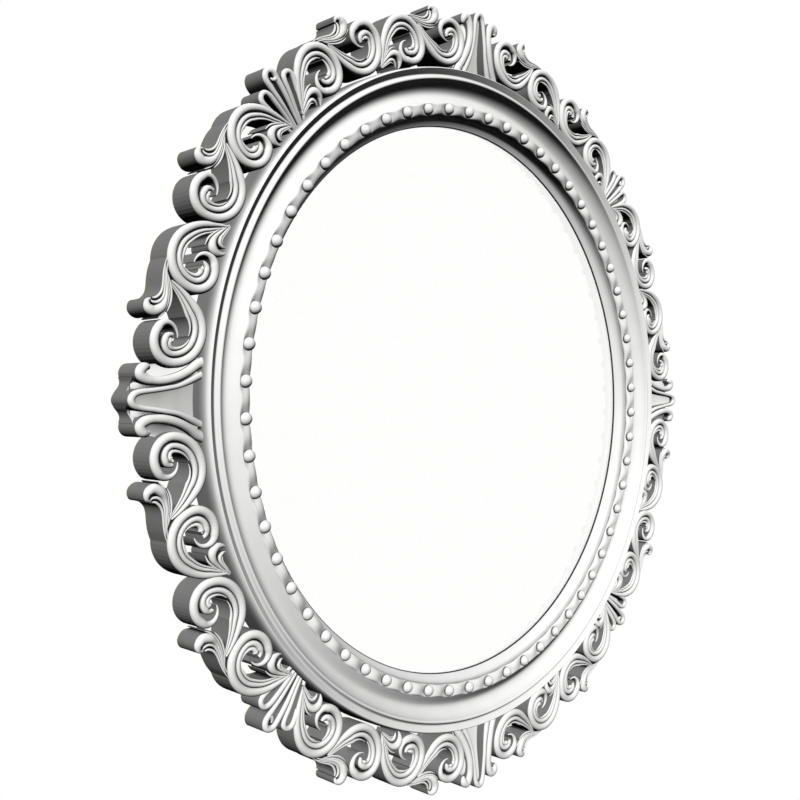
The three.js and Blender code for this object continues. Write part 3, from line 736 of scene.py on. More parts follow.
def fan():
    """A middle tongue with a hook, and a leaning tongue on each side, with webs inside the tongues."""
    strands = [
        carve(stroke(hairpin(FAN_MIDDLE))),
        carve(stroke(FAN_MIDDLE_WEB), rise=FLAT_RISE),
        carve(stroke(FAN_HOOK), spring=BORDER_DEPTH + FAN_HOOK_LIFT),
    ]
    foot = Matrix.Translation((0, 0, ring_radius * MM))
    lean = Matrix.Rotation(math.radians(FAN_SIDE_LEAN_DEG), 4, "Y")
    out = Matrix.Translation((FAN_SIDE_OUT * grid * MM, 0, 0))
    for points, rise in ((hairpin(FAN_SIDE), ROLL_RISE), (FAN_SIDE_WEB, FLAT_RISE)):
        strand = carve(stroke(points), rise=rise)
        strand.data.transform(out @ foot @ lean @ foot.inverted())
        strands += [strand, mirror_copy(strand)]
    return joined(strands)


def finished(piece):
    """Rolls are shaded smooth, and upright sides keep the flat facets that the carver's chisel leaves."""
    closed_up(piece.data)
    piece.data.set_sharp_from_angle(angle=SHARP_ANGLE)
    tops = [abs(face.normal.y) > UPRIGHT for face in piece.data.polygons]
    piece.data.polygons.foreach_set("use_smooth", tops)
    return piece


def set_round(form, name, node, angle, side=1):
    """A copy of a form, turned to its place round the ring, or mirrored first where side is -1."""
    mesh = form.data.copy()
    mesh.name = name
    mesh.transform(Matrix.Rotation(angle, 4, "Y") @ Matrix.Diagonal((side, 1, 1, 1)))
    if side < 0:
        mesh.flip_normals()
    piece = put(name, mesh)
    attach(piece, "frame")
    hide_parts(node)
    return piece


fan_form = finished(cut_or_join(fan(), "DIFFERENCE", [ring_block()]))
for axis in range(AXIS_COUNT):
    set_round(fan_form, f"carved_fan_{axis + 1}", f"fan_{axis + 1}", axis * quarter + quarter / 2)

# Scroll units: 16 pierced boards of limewood, carved into an S-scroll, a C-scroll and two curled leaves.
# Each is sawn out, keyed and glued to the ring's edge. Its rolls have upright sides and run side by side.
FACET_DEG = 10
LONGEST_STEP = 4
# The start, the heading in degrees, the side that it turns to, and arcs of (radius, degrees)
S_LINE = ((7.3, 35.5), -104, -1, ((73.3, 20.4), (26.7, 62), (26.7, 71), (18, 131.3), (10.2, 152.4)))
S_OUTER_ARCS = (1, 2, 3)
C_LINE = (
    (59.2, 0.6),
    96,
    1,
    ((130, 6.6), (42.3, 29), (26.8, 48.4), (24.4, 35), (24.4, 55), (18.9, 114), (10.4, 156.9)),
)
OUTER_LEAF = (
    ((20, 41.2, 0.6), (8.8, 40, 1.4), (0.8, 37.6, 2.2), (-7.2, 37, 3.6), (-13.7, 39, 6.6),
     (-17.6, 44, 7.4), (-16.4, 49, 6.2), (-12.5, 50.4, 3.6), (-10, 48.2, 1.4)),
    ((16.8, 42.4, 0.7), (8.8, 41, 1.2), (0.8, 39.3, 1.6), (-6.2, 39.2, 2), (-10.5, 42, 2.4),
     (-11.8, 45.6, 2), (-11, 47.8, 0.8)),
    ((22, 42, 0.5), (15, 42.6, 1), (8.8, 42.2, 1.3), (0.8, 41, 1.7), (-4.2, 41.6, 2),
     (-8, 44.2, 1.9), (-9.2, 47, 1.2)),
    ((12.8, 40.4, 0.6), (5.8, 37.8, 1.2), (-2.2, 35.5, 1.8), (-10.2, 35, 2), (-16.7, 36.8, 1.7),
     (-21.2, 39.4, 0.6)),
    ((9.8, 38.8, 0.5), (2.8, 35, 1.4), (-4.2, 33, 1.8), (-10.2, 32.9, 1.5), (-15.2, 34, 0.5)),
)
INNER_LEAF = (
    ((60.1, -1.2, 0.7), (54.8, 3.3, 1.8), (48.8, 7.8, 3.4), (43.8, 9.8, 5.4), (39.2, 9, 6.6),
     (36.8, 5, 5.6), (37.4, 0.5, 3.2), (39.5, -2.8, 0.5)),
    ((59.8, -2.1, 0.6), (53.8, 1.4, 1.8), (48.3, 4.2, 2.8), (44.6, 4, 3.2), (42.7, 1, 2.2),
     (42.8, -1.7, 0.5)),
    ((58.8, -2.4, 0.5), (53.8, 0, 1.2), (48.3, 2.3, 1.3), (45.3, 1.6, 0.6)),
    ((59.8, -0.4, 0.6), (55.8, 4.4, 1.2), (49.8, 10.4, 1.6), (44.8, 13.9, 1.5), (39.6, 15.2, 0.5)),
)


def mix(a, b, share):
    """A number at a share of the way from one to another."""
    return a + (b - a) * share


def across_way(angle, side):
    """The way to the inner side of a line with this heading."""
    return Vector((-math.sin(angle), math.cos(angle))) * side


def compass_line(start, heading, side, arcs):
    """Walks along arcs drawn with compasses, each (radius, degrees), and yields points a facet apart:
    the point, the way inwards, the arc's number and the share of the arc that is passed."""
    at = Vector(start)
    angle = heading
    for number, (radius, degrees) in enumerate(arcs):
        turn = side * math.radians(degrees)
        steps = max(1, math.ceil(degrees / FACET_DEG), math.ceil(radius * abs(turn) / LONGEST_STEP))
        centre = at + across_way(angle, side) * radius
        for step in range(0 if number == 0 else 1, steps + 1):
            way = across_way(angle + turn * step / steps, side)
            at = centre - way * radius
            yield at, way, number, step / steps
        angle += turn


def along(line, edges, widths, curl=(), first=0):
    """Stations of a strand inside a line: how far in its outer edge lies, and its width, at the start of its
    first arc and at the end of each arc. It can go on in a curl of (radius, degrees, width) arcs."""
    start, heading, side, arcs = line
    stations = []
    for point, way, number, share in compass_line(start, math.radians(heading), side, arcs):
        arc = number - first
        if 0 <= arc < len(edges) - 1:
            edge = mix(edges[arc], edges[arc + 1], share)
            stations.append((point + way * edge, way, mix(widths[arc], widths[arc + 1], share), 0))
    if curl:
        point, way, width, _ = stations[-1]
        widths = [width] + [arc[2] for arc in curl]
        onward = math.atan2(-way.x * side, way.y * side)
        for at, way, number, share in compass_line(point, onward, side, [arc[:2] for arc in curl]):
            if number or share:
                stations.append((at, way, mix(widths[number], widths[number + 1], share), 0))
    return stations


def scroll_strands():
    """The strands of a scroll unit, each ready to be joined to the others."""
    rolls = [
        along(S_LINE, (0,) * 6, (1.5, 6.2, 6.8, 6.8, 6.6, 0.8)),
        along(S_LINE, (1.6, 6.4, 7.1, 7.3), (1, 4, 4.4, 4.4), ((9.4, 118, 5.4), (6.6, 86, 3))),
        along(S_LINE, (11.8, 12), (0.5, 2.8), ((5, 118, 4.6), (3.2, 60, 2.4)), first=2),
        along(S_LINE, (2.7, 10.6, 13.4), (0.6, 2.6, 0.4)),
        along(C_LINE, (0,) * 8, (1.6, 4.6, 6.4, 6.8, 6.8, 6.8, 6.8, 0.8)),
        along(
            C_LINE,
            (1.7, 4.8, 6.6, 7.1, 7.1, 7.1),
            (0.9, 2.4, 3.8, 4.2, 4.4, 4.4),
            ((11.2, 100, 5.4), (6.4, 86, 3)),
        ),
        along(C_LINE, (11.6, 11.8), (0.5, 2.8), ((6.6, 100, 4.8), (3.4, 60, 2.4)), first=4),
        along(C_LINE, (2.7, 7.3, 10.6, 11.5, 11.7), (0.5, 1.4, 2.2, 2.4, 0.4)),
    ]
    leaves = [stroke(points) for points in OUTER_LEAF + INNER_LEAF]
    return [carve(stations) for stations in rolls + leaves]


def turned_round(piece, angle):
    """Turns a piece's mesh about the ring's axis."""
    piece.data.transform(Matrix.Rotation(angle, 4, "Y"))
    return piece


def volute_block(side, angle):
    """A block of the S-scroll's round outer side, as it stands at an angle round the ring from here."""
    start, heading, turn_side, arcs = S_LINE
    walk = compass_line(start, math.radians(heading), turn_side, arcs)
    outline = [at - way * NEIGHBOUR_GAP for at, way, number, share in walk if number in S_OUTER_ARCS]
    block = prism([Vector((side * at.x, at.y)) for at in outline], 2 * BORDER_DEPTH)
    return turned_round(block, angle)


first_place = PALMETTE_TO_UNIT * step_angle
second_place = first_place + UNIT_TO_UNIT * step_angle
first_unit = joined(scroll_strands())
second_unit = put("second_unit", first_unit.data.copy())
next_volute = volute_block(1, UNIT_TO_UNIT * step_angle)
first_unit = finished(cut_or_join(first_unit, "DIFFERENCE", [ring_block(), next_volute]))
fan_block = turned_round(put("fan_block", fan_form.data.copy()), UNIT_TO_FAN * step_angle)
second_unit = finished(cut_or_join(second_unit, "DIFFERENCE", [ring_block(), fan_block]))
run = (
    (first_unit, first_place, 1),
    (second_unit, second_place, 1),
    (second_unit, quarter - second_place, -1),
    (first_unit, quarter - first_place, -1),
)
for axis in range(AXIS_COUNT):
    for i, (form, angle, side) in enumerate(run):
        number = axis * len(run) + i + 1
        set_round(form, f"carved_scroll_{number}", f"scroll_{number}", axis * quarter + angle, side)
for form in (fan_form, first_unit, second_unit):
    bpy.data.objects.remove(form)

# Palmettes: 4 three-lobed palmettes of limewood on the axes, carved in the round and silvered.
# Each is keyed and glued to the ring's edge between two scroll units, and is cut to fit them.
HOLLOW_RISE = -1.2
SHELF_HEIGHT = 16
SHELF_TILT = 4.5
FILL_HEIGHT = 18.5
END_HEIGHT = 20.4
END_TILT = 1.2
END_RISE = -0.6
PALMETTE_HAIRPIN = (
    (18, -3, 5.8, -4.8), (16.4, 2, 5.6, -4.3), (13.4, 9, 5.2, -3), (9.8, 19, 3.9, -1.2),
    (8, 29, 3.8, -0.2), (6.6, 39, 3.8, 0), (5.3, 49, 4.2, 0), (3.4, 54, 5, 0), (0, 56, 5.4, 0),
)
PALMETTE_WEB = (
    (0, -3, 32, -12.5), (0, 9, 25, -10.5), (0, 19, 18.5, -8.5), (0, 29, 14.5, -6.5), (0, 39, 12, -4),
    (0, 52, 9, -1),
)
PALMETTE_LOBE = (
    (26.5, -3, 8, -4.8), (24.5, 2.5, 7.4, -4.2), (20, 10, 6.8, -2.8), (15.9, 19.5, 6.6, -1.1),
    (13.3, 30, 6.6, -0.1), (12.9, 39, 6.4), (14.2, 45.4, 7.2), (17.4, 49.4, 7.6), (21, 48, 7.4),
    (22.2, 44.6, 5.4), (21.2, 42.4, 2.4),
)
PALMETTE_SHELF = (
    (27.5, -3, 6), (24.5, 10, 8.5), (21.4, 22, 9), (20.6, 32, 9), (19.6, 40, 9), (18.2, 47, 8),
)
PALMETTE_FILL = ((18, 2, 6), (11.5, 22, 5), (9.8, 38, 5), (9.6, 46, 5, -1.6), (9.4, 52, 5, -5))
PALMETTE_END = (
    (15.6, 53.3, 5, -1), (12, 52.5, 7, -5.4), (8.8, 53.6, 8, -7.4), (5.6, 56.2, 7, -5),
    (2, 58.3, 4, -0.6),
)


def palmette():
    """A hairpin round a hollow web, and on each side a lobe with a shelf, a fill and a hollow end."""
    strands = [carve(stroke(hairpin(PALMETTE_HAIRPIN))), carve(stroke(PALMETTE_WEB), rise=HOLLOW_RISE)]
    half = [
        carve(stroke(PALMETTE_LOBE)),
        carve(stroke(PALMETTE_SHELF), spring=SHELF_HEIGHT, rise=HOLLOW_RISE, tilt=SHELF_TILT),
        carve(stroke(PALMETTE_FILL), spring=FILL_HEIGHT, rise=FLAT_RISE),
        carve(stroke(PALMETTE_END, on_edge=True), spring=END_HEIGHT, rise=END_RISE, tilt=END_TILT),
    ]
    return joined(strands + half + [mirror_copy(strand) for strand in half])


cutters = [ring_block(), volute_block(1, first_place), volute_block(-1, -first_place)]
palmette_form = finished(cut_or_join(palmette(), "DIFFERENCE", cutters))
for axis in range(AXIS_COUNT):
    set_round(palmette_form, f"carved_palmette_{axis + 1}", f"palmette_{axis + 1}", axis * quarter)
bpy.data.objects.remove(palmette_form)

# Glass: a disc of 2 mm float glass with ground edges, laid in the rebate.
# It is clear, so the card behind it shows.
GLASS_RADIUS = 254
GLASS_DEPTHS = (4.25, 6.25)
GROUND_EDGE = 0.35


def disc_section(radius, low, high, edge):
    """Half the section of a disc with softened edges, between two heights above the back."""
    upper = [(0, high), (radius - edge, high), (radius, high - edge)]
    return upper + [(radius, low + edge), (radius - edge, low), (0, low)]


def glass_material():
    """Clear glass that lets the lamps through to the card."""
    material, tree, shader, _ = new_material("clear_glass")
    fill(tree, shader, Base_Color=(1, 1, 1, 1), Roughness=0, IOR=1.5, Transmission_Weight=1)
    clear = tree.nodes.new("ShaderNodeBsdfTransparent")
    passing = tree.nodes.new("ShaderNodeMixShader")
    tree.links.new(tree.nodes.new("ShaderNodeLightPath").outputs["Is Shadow Ray"], passing.inputs[0])
    tree.links.new(shader.outputs[0], passing.inputs[1])
    tree.links.new(clear.outputs[0], passing.inputs[2])
    tree.links.new(passing.outputs[0], tree.nodes["Material Output"].inputs["Surface"])
    return material


glass_section = disc_section(GLASS_RADIUS, *GLASS_DEPTHS, GROUND_EDGE)
glass = turned("round_glass", glass_section, glass_material(), hollow=False)
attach(glass, "frame")
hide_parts("glass_pane")

# Picture card: a disc of plain white card, cut with a knife and laid behind the glass.
# It is blank, with the faint fibre of uncoated card.
CARD_DEPTHS = (3.3, 4.1)
CUT_EDGE = 0.1
CARD_COLOURS = ((0.9, 0.9, 0.893), (0.93, 0.93, 0.925))
CARD_FIBRE = 420
CARD_RELIEF = 0.02


def card_material():
    """Matt white card with a faint fibre."""
    material, tree, shader, place = new_material("white_card")
    fibre = noise_mask(tree, place, CARD_FIBRE)
    colour = blend_colours(tree, fibre, *CARD_COLOURS)
    fill(tree, shader, Base_Color=colour, Roughness=0.95, Specular_IOR_Level=0.1)
    roughened(tree, shader, fibre, CARD_RELIEF)
    return material


card_section = disc_section(GLASS_RADIUS, *CARD_DEPTHS, CUT_EDGE)
card = turned("blank_card", card_section, card_material(), hollow=False)
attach(card, "frame")
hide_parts("picture_card")

# Backing board: a disc of 3 mm hardboard, sawn round, that closes the back and presses on the card.
# The turn buttons hold it in the rebate.
BOARD_DEPTHS = (0.15, 3.15)
SAWN_EDGE = 0.5
BOARD_COLOURS = ((0.3, 0.195, 0.11), (0.37, 0.25, 0.145))
BOARD_FLECK = (0.2, 0.125, 0.07)
BOARD_FLECK_SHARE = 0.35
BOARD_BLOTCH = 30
BOARD_FIBRE = 900
BOARD_CONTRAST = 3
BOARD_ROUGHNESS = (0.62, 0.85)
BOARD_RELIEF = 0.06


def hardboard_material():
    """Pressed brown fibre, blotched, with darker flecks."""
    material, tree, shader, place = new_material("hardboard")
    fibre = noise_mask(tree, place, BOARD_FIBRE, BOARD_CONTRAST)
    ground = blend_colours(tree, noise_mask(tree, place, BOARD_BLOTCH), *BOARD_COLOURS)
    colour = blend_colours(tree, reckon(tree, "MULTIPLY", fibre, BOARD_FLECK_SHARE), ground, BOARD_FLECK)
    fill(tree, shader, Base_Color=colour, Roughness=between(tree, fibre, *BOARD_ROUGHNESS))
    roughened(tree, shader, fibre, BOARD_RELIEF)
    return material


board_section = disc_section(GLASS_RADIUS, *BOARD_DEPTHS, SAWN_EDGE)
board = turned("hardboard_back", board_section, hardboard_material(), hollow=False)
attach(board, "frame")
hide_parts("backing_board")

# Turn buttons: 4 round-ended bars stamped from 2 mm steel, tumbled to soften their edges and nickel plated.
# Each turns on a screw in the ring's back, and its long end lies over the backing board.
BUTTON_COUNT = 4
BUTTON_CIRCLE = 264
BUTTON_LENGTH = 34
BUTTON_WIDTH = 10
BUTTON_TAIL = 10
BUTTON_BACKS = (0.3, 2.3)
SCREW_HOLE = 1.95
STAMPED_EDGE = 0.3
SHARPEST_CORNER = 0.2
OUTLINE_STEPS = 64
NICKEL_COLOURS = ((0.41, 0.4, 0.38), (0.5, 0.49, 0.465))
NICKEL_CLOUD = 140
NICKEL_ROUGHNESS = (0.4, 0.55)
NICKEL_RELIEF = 0.01
POLISH_STRETCH = (1, 1, 0.06)
POLISH_SCALE = 2600
POLISH_CONTRAST = 2.5


def nickel_material():
    """Nickel plate with the fine lines of polishing."""
    material, tree, shader, place = new_material("nickel_plate")
    colour = blend_colours(tree, noise_mask(tree, place, NICKEL_CLOUD), *NICKEL_COLOURS)
    stretched = add_node(tree, "ShaderNodeMapping", Vector=place, Scale=POLISH_STRETCH).outputs[0]
    lines = noise_mask(tree, stretched, POLISH_SCALE, POLISH_CONTRAST)
    fill(tree, shader, Metallic=1, Base_Color=colour, Roughness=between(tree, lines, *NICKEL_ROUGHNESS))
    roughened(tree, shader, lines, NICKEL_RELIEF)
    return material


nickel_plate = nickel_material()


def round_ended(low, high, half, corner):
    """An outline of a bar along Z between two ends, with round corners, as (x, z) points in even steps."""
    corners = ((1, high), (-1, high), (-1, low), (1, low))
    fine = []
    for number, (side, end) in enumerate(corners):
        centre = (side * (half - corner), end + (corner if end == low else -corner))
        for step in range(OUTLINE_STEPS):
            angle = math.radians(90 * number + 90 * step / (OUTLINE_STEPS - 1))
            fine.append((centre[0] + corner * math.cos(angle), centre[1] + corner * math.sin(angle)))
    lengths = [0]
    for here, there in zip(fine, fine[1:] + fine[:1]):
        lengths.append(lengths[-1] + math.dist(here, there))
    outline = []
    at = 0
    for step in range(OUTLINE_STEPS):
        want = lengths[-1] * step / OUTLINE_STEPS
        while lengths[at + 1] < want:
            at += 1
        share = (want - lengths[at]) / max(lengths[at + 1] - lengths[at], 1e-9)
        here, there = fine[at], fine[(at + 1) % len(fine)]
        outline.append((mix(here[0], there[0], share), mix(here[1], there[1], share)))
    return outline


def lofted(name, rings, finish):
    """A body through rings of points, one after the other, with the last ring joined to the first."""
    edit = bmesh.new()
    rows = [[edit.verts.new((x * MM, y * MM, z * MM)) for x, y, z in ring] for ring in rings]
    for row, after in zip(rows, rows[1:] + rows[:1]):
        for i in range(len(row)):
            j = (i + 1) % len(row)
            edit.faces.new((row[i], row[j], after[j], after[i]))
    bmesh.ops.recalc_face_normals(edit, faces=edit.faces)
    mesh = bpy.data.meshes.new(name)
    edit.to_mesh(mesh)
    edit.free()
    mesh.materials.append(finish)
    smoothed(mesh)
    return put(name, mesh)


def stamped_plate(name, low, high, half, corner, backs):
    """A plate with round corners, softened edges and a screw hole at the origin."""
    front, back = backs

    def around(inset, y):
        """The plate's outline, drawn in by an inset, at a depth."""
        rounding = max(corner - inset, SHARPEST_CORNER)
        return [(x, y, z) for x, z in round_ended(low + inset, high - inset, half - inset, rounding)]

    def hole_ring(radius, y):
        """The hole's edge at a depth, with a point for each one of the outline."""
        turns = [math.atan2(z, x) for x, z in round_ended(low, high, half, corner)]
        return [(radius * math.cos(a), y, radius * math.sin(a)) for a in turns]

    rings = [
        hole_ring(SCREW_HOLE, front),
        hole_ring(SCREW_HOLE, back - STAMPED_EDGE),
        hole_ring(SCREW_HOLE + STAMPED_EDGE, back),
        around(STAMPED_EDGE, back),
        around(0, back - STAMPED_EDGE),
        around(0, front + STAMPED_EDGE),
        around(STAMPED_EDGE, front),
    ]
    return lofted(name, rings, nickel_plate)


for number in range(BUTTON_COUNT):
    button = stamped_plate(
        f"stamped_button_{number + 1}",
        BUTTON_TAIL - BUTTON_LENGTH,
        BUTTON_TAIL,
        BUTTON_WIDTH / 2,
        BUTTON_WIDTH / 2,
        BUTTON_BACKS,
    )
    button.data.transform(Matrix.Translation((0, 0, BUTTON_CIRCLE * MM)))
    turned_round(button, number * 2 * math.pi / BUTTON_COUNT)
    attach(button, f"turn_button_{number + 1}")
    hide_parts(f"turn_button_{number + 1}")

# Screws: 6 plated steel screws with domed, slotted heads, driven into the ring's back.
# 4 are the turn buttons' pivots, and 2 hold the hanger straps.
SCREW_HEAD_RADIUS = 3.6
SCREW_HEAD_HEIGHT = 1.8
SCREW_RIM = 0.5
SHANK_RADIUS = 1.7
SCREW_LENGTH = 12
SCREW_POINT = 2.5
SLOT_WIDTH = 0.9
SLOT_DEPTH = 0.9
SCREW_STEPS = 32
DOME_STEPS = 8
CUT_PAST = 1
BUTTON_SCREW_SEAT = 2.45
HANGER_SCREW_SEAT = 1.95
HANGER_DEG = 50
HANGER_CIRCLE = 277
STRAP_SCREW_DROP = 11


def setting_tree():
    """Sets a copy of one made piece on each point of a mesh."""
    tree, ins, outs = new_tree("set_pieces", [("Piece", "Object"), ("Finish", "Material")])
    made = add_node(tree, "GeometryNodeObjectInfo", Object=ins.outputs["Piece"]).outputs["Geometry"]
    places = ins.outputs["Geometry"]
    copies = add_node(tree, "GeometryNodeInstanceOnPoints", Points=places, Instance=made).outputs[0]
    put_out(tree, outs, copies, ins.outputs["Finish"])
    return tree


set_pieces = setting_tree()


def set_copies(name, piece, places, finish):
    """One object of copies of a piece at these places, in millimetres. The piece itself is removed."""
    mesh = bpy.data.meshes.new(name)
    mesh.from_pydata([[number * MM for number in place] for place in places], [], [])
    copies = grown(name, mesh, set_pieces, Piece=piece, Finish=finish)
    bpy.data.objects.remove(piece)
    return copies


def box_block(low, high):
    """A plain block between two corners, to cut with."""
    corners = [(x * MM, y * MM, z * MM) for x, y, z in itertools.product(*zip(low, high))]
    faces = ((0, 1, 3, 2), (4, 6, 7, 5), (0, 4, 5, 1), (2, 3, 7, 6), (0, 2, 6, 4), (1, 5, 7, 3))
    mesh = bpy.data.meshes.new("block")
    mesh.from_pydata(corners, [], faces)
    return put("block", mesh)


dome_radii = (SCREW_HEAD_RADIUS, SCREW_HEAD_HEIGHT - SCREW_RIM)
dome = ellipse_run((0, -SCREW_RIM), dome_radii, -90, 0, DOME_STEPS)
screw_section = [
    *dome,
    (SCREW_HEAD_RADIUS, 0),
    (SHANK_RADIUS, 0),
    (SHANK_RADIUS, SCREW_LENGTH - SCREW_POINT),
    (0, SCREW_LENGTH),
]
screw = turned("screw", screw_section, nickel_plate, SCREW_STEPS, hollow=False)
slot_reach = SCREW_HEAD_RADIUS + CUT_PAST
slot_low = (-slot_reach, SCREW_HEAD_HEIGHT - SLOT_DEPTH, -SLOT_WIDTH / 2)
slot_block = box_block(slot_low, (slot_reach, SCREW_HEAD_HEIGHT + CUT_PAST, SLOT_WIDTH / 2))
screw = cut_or_join(screw, "DIFFERENCE", [slot_block])
screw.data.set_sharp_from_angle(angle=SHARP_ANGLE)


def round_back(radius, degrees):
    """A place on the back, at an angle from the top."""
    return radius * math.sin(math.radians(degrees)), radius * math.cos(math.radians(degrees))


button_places = [round_back(BUTTON_CIRCLE, 360 * i / BUTTON_COUNT) for i in range(BUTTON_COUNT)]
hanger_places = [round_back(HANGER_CIRCLE, degrees) for degrees in (-HANGER_DEG, HANGER_DEG)]
screw_places = [(x, BUTTON_SCREW_SEAT, z) for x, z in button_places]
screw_places += [(x, HANGER_SCREW_SEAT, z - STRAP_SCREW_DROP) for x, z in hanger_places]
screws = set_copies("back_screws", screw, screw_places, nickel_plate)
button_screws = [f"turn_button_screw_{i + 1}" for i in range(BUTTON_COUNT)]
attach(screws, "frame")
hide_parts(*button_screws, "hanger_screw_1", "hanger_screw_2")

# Hangers: a steel strap whose top is rolled into a barrel, with a ring of bent wire that swings in it.
# Both are nickel plated. A screw holds each strap to the ring's back.
STRAP_LENGTH = 21
STRAP_WIDTH = 11
STRAP_CORNER = 3
STRAP_BACKS = (0.3, 1.8)
BARREL_BORE = 1.55
BARREL_RADIUS = 3.05
BARREL_BACK = 3.35
WIRE_RADIUS = 1.3
WIRE_CORNER = 2.5
WIRE_HALF = 9.5
WIRE_DROP = 13
WIRE_SIDES = 20
CORNER_STEPS = 8
BOW_STEPS = 28


def wire_tree():
    """Round wire along a line."""
    tree, ins, outs = new_tree("bent_wire", [("Radius", "Float"), ("Sides", "Int"), ("Finish", "Material")])
    line = add_node(tree, "GeometryNodeMeshToCurve", Mesh=ins.outputs["Geometry"]).outputs[0]
    section = add_node(tree, "GeometryNodeCurvePrimitiveCircle", Resolution=ins.outputs["Sides"])
    plug(tree, section.inputs["Radius"], ins.outputs["Radius"])
    swept = add_node(tree, "GeometryNodeCurveToMesh", Curve=line, Profile_Curve=section.outputs[0])
    put_out(tree, outs, swept.outputs[0], ins.outputs["Finish"])
    return tree


bent_wire = wire_tree()
barrel_section = [
    (BARREL_BORE, -STRAP_WIDTH / 2),
    (BARREL_BORE, STRAP_WIDTH / 2),
    (BARREL_RADIUS - STAMPED_EDGE, STRAP_WIDTH / 2),
    (BARREL_RADIUS, STRAP_WIDTH / 2 - STAMPED_EDGE),
    (BARREL_RADIUS, STAMPED_EDGE - STRAP_WIDTH / 2),
    (BARREL_RADIUS - STAMPED_EDGE, -STRAP_WIDTH / 2),
]
bore_section = [
    (0, STRAP_WIDTH),
    (BARREL_BORE, STRAP_WIDTH),
    (BARREL_BORE, -STRAP_WIDTH),
    (0, -STRAP_WIDTH),
]
along_x = Matrix.Translation((0, BARREL_BACK * MM, 0)) @ Matrix.Rotation(math.pi / 2, 4, "Z")
corner_middle = WIRE_HALF - WIRE_CORNER
ring_line = [
    *ellipse_run((corner_middle, -WIRE_CORNER), (WIRE_CORNER, WIRE_CORNER), 90, 0, CORNER_STEPS),
    *ellipse_run((0, -WIRE_DROP), (WIRE_HALF, WIRE_HALF), 0, -180, BOW_STEPS),
    *ellipse_run((-corner_middle, -WIRE_CORNER), (WIRE_CORNER, WIRE_CORNER), 180, 90, CORNER_STEPS),
]
for number, (x, z) in enumerate(hanger_places):
    strap = stamped_plate(
        f"rolled_strap_{number + 1}",
        STRAP_SCREW_DROP - STRAP_LENGTH,
        STRAP_SCREW_DROP,
        STRAP_WIDTH / 2,
        STRAP_CORNER,
        STRAP_BACKS,
    )
    strap.data.transform(Matrix.Translation((0, 0, -STRAP_SCREW_DROP * MM)))
    barrel = turned("barrel", barrel_section, nickel_plate, SCREW_STEPS)
    bore = turned("bore", bore_section, nickel_plate, SCREW_STEPS, hollow=False)
    for rolled in (barrel, bore):
        rolled.data.transform(along_x)
    strap = cut_or_join(cut_or_join(strap, "DIFFERENCE", [bore]), "UNION", [barrel])
    closed_up(strap.data)
    strap.data.set_sharp_from_angle(angle=SHARP_ANGLE)
    strap.data.transform(Matrix.Translation((x * MM, 0, z * MM)))
    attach(strap, "frame")
    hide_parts(f"hanger_strap_{number + 1}")

    ring_points = [((x + a) * MM, BARREL_BACK * MM, (z + b) * MM) for a, b in ring_line]
    ring = grown(
        f"wire_ring_{number + 1}",
        wire_mesh("ring_line", ring_points, True),
        bent_wire,
        Radius=WIRE_RADIUS * MM,
        Sides=WIRE_SIDES,
        Finish=nickel_plate,
    )
    closed_up(ring.data)
    ring.data.polygons.foreach_set("use_smooth", [True] * len(ring.data.polygons))
    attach(ring, f"hanger_ring_{number + 1}")
    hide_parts(f"hanger_ring_{number + 1}")

# Wall bumpers: 2 round pads punched from thick wool felt and glued to the lower back.
# They keep the frame off the wall, and their edges are slightly rounded by the punch.
BUMPER_DEG = 150
BUMPER_CIRCLE = 277
BUMPER_RADIUS = 7
BUMPER_BACKS = (0.3, 5.3)
BUMPER_ROUND = 0.9
BUMPER_ROUND_STEPS = 5
BUMPER_STEPS = 48
FELT_COLOURS = ((0.045, 0.045, 0.047), (0.1, 0.1, 0.103))
FELT_FLECK = 700
FELT_CONTRAST = 3
FELT_FUZZ = 2200
FELT_RELIEF = 0.25


def felt_material():
    """Dark grey wool felt, flecked and fuzzy."""
    material, tree, shader, place = new_material("wool_felt")
    colour = blend_colours(tree, noise_mask(tree, place, FELT_FLECK, FELT_CONTRAST), *FELT_COLOURS)
    fill(tree, shader, Base_Color=colour, Roughness=1, Sheen_Weight=0.3)
    roughened(tree, shader, noise_mask(tree, place, FELT_FUZZ), FELT_RELIEF)
    return material


near, far = (-value for value in BUMPER_BACKS)
round_middle = (BUMPER_RADIUS - BUMPER_ROUND, far + BUMPER_ROUND)
pad_section = [
    (0, far),
    *ellipse_run(round_middle, (BUMPER_ROUND, BUMPER_ROUND), -90, 0, BUMPER_ROUND_STEPS),
    (BUMPER_RADIUS, near),
    (0, near),
]
wool_felt = felt_material()
pad = turned("pad", pad_section, wool_felt, BUMPER_STEPS, hollow=False)
pad_places = [round_back(BUMPER_CIRCLE, degrees) for degrees in (-BUMPER_DEG, BUMPER_DEG)]
bumpers = set_copies("felt_bumpers", pad, [(x, 0, z) for x, z in pad_places], wool_felt)
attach(bumpers, "frame")
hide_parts("wall_bumper_1", "wall_bumper_2")

# Studio: a pale floor below the hung frame with a lamp of its own, a soft key without a shadow from the
# camera's side, and a rear lamp for the back. The world is white to the camera, in reflections and through
# glass, and gives little light itself. No light bounces between pieces.
FLOOR_HEIGHT = -1.2
FLOOR_RADIUS = 1.4
FLOOR_STEPS = 96
FLOOR_COLOURS = ((0.84, 0.84, 0.84), (0.87, 0.87, 0.87))
FLOOR_MOTTLE = 6
CAMERA_PLACE = (-0.679, -0.5955, 0)
CAMERA_LOOK = (0.7086, 0.7056, 0)
LENS = 43.19
SENSOR = 36
KEY_FROM = (-0.61, -0.55, 0.57)
KEY_STRENGTH = 6.1
REAR_FROM = (0.45, 0.72, 0.53)
REAR_STRENGTH = 3
FLOOR_LAMP_FROM = (-0.2, -0.3, 0.93)
FLOOR_LAMP_STRENGTH = 1.5
SUN_SOFTNESS_DEG = 14
FILL = 0.01
scene = bpy.context.scene
scene.view_settings.view_transform = "Standard"

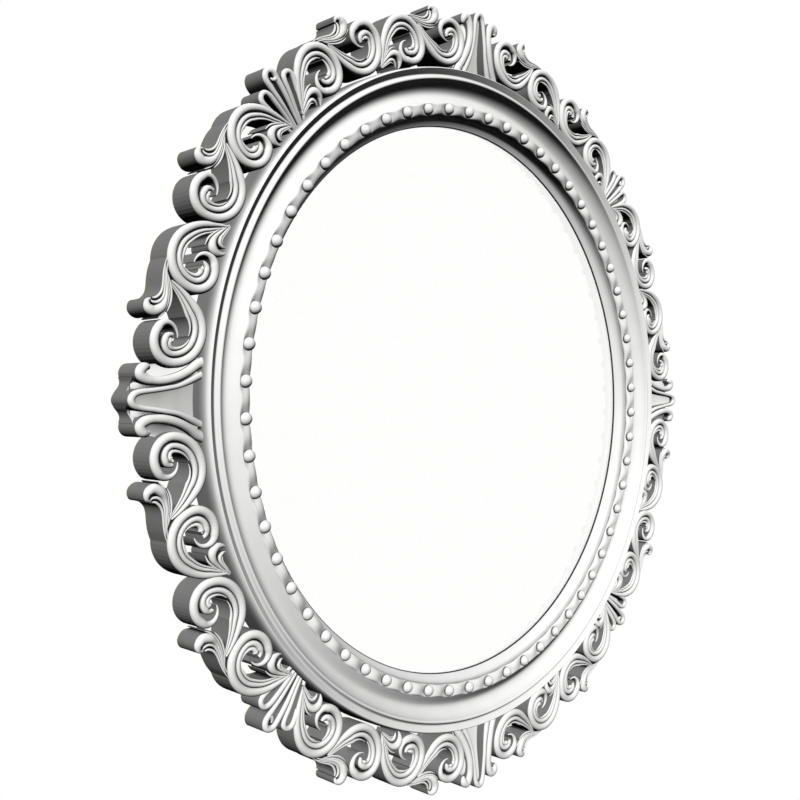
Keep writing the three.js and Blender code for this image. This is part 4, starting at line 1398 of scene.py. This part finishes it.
floor_mesh = bpy.data.meshes.new("floor")
edit = bmesh.new()
bmesh.ops.create_circle(edit, cap_ends=True, segments=FLOOR_STEPS, radius=FLOOR_RADIUS)
bmesh.ops.translate(edit, verts=edit.verts, vec=(0, 0, FLOOR_HEIGHT))
edit.to_mesh(floor_mesh)
edit.free()
pale, tree, shader, place = new_material("pale_floor")
floor_colour = blend_colours(tree, noise_mask(tree, place, FLOOR_MOTTLE), *FLOOR_COLOURS)
fill(tree, shader, Base_Color=floor_colour, Roughness=0.9)
floor_mesh.materials.append(pale)
floor = put("floor", floor_mesh)
for piece in scene.objects:
    piece.visible_diffuse = False

camera = put("camera", bpy.data.cameras.new("camera"))
camera.data.lens = LENS
camera.data.sensor_width = SENSOR
camera.location = CAMERA_PLACE
camera.rotation_euler = Vector(CAMERA_LOOK).to_track_quat("-Z", "Y").to_euler()
scene.camera = camera


def lamp(name, source, strength, floor_state=None, shadows=True):
    """A soft sun that shines from a direction. It can light only the floor, or all but the floor."""
    sun = put(name, bpy.data.lights.new(name, "SUN"))
    sun.data.energy = strength
    sun.data.angle = math.radians(SUN_SOFTNESS_DEG)
    sun.data.use_shadow = shadows
    sun.rotation_euler = (-Vector(source)).to_track_quat("-Z", "Y").to_euler()
    if floor_state:
        lit = bpy.data.collections.new(f"{name}_light")
        lit.objects.link(floor)
        lit.collection_objects[0].light_linking.link_state = floor_state
        sun.light_linking.receiver_collection = lit


lamp("key", KEY_FROM, KEY_STRENGTH, "EXCLUDE", shadows=False)
lamp("rear", REAR_FROM, REAR_STRENGTH)
lamp("floor_lamp", FLOOR_LAMP_FROM, FLOOR_LAMP_STRENGTH, "INCLUDE")

scene.world = bpy.data.worlds.new("studio")
scene.world.use_nodes = True
tree = scene.world.node_tree
background = tree.nodes["Background"]
background.inputs["Color"].default_value = (1, 1, 1, 1)
paths = tree.nodes.new("ShaderNodeLightPath").outputs
seen = reckon(tree, "MAXIMUM", paths["Is Camera Ray"], paths["Is Glossy Ray"])
seen = reckon(tree, "MAXIMUM", seen, paths["Is Transmission Ray"])
tree.links.new(between(tree, seen, FILL, 1), background.inputs["Strength"])
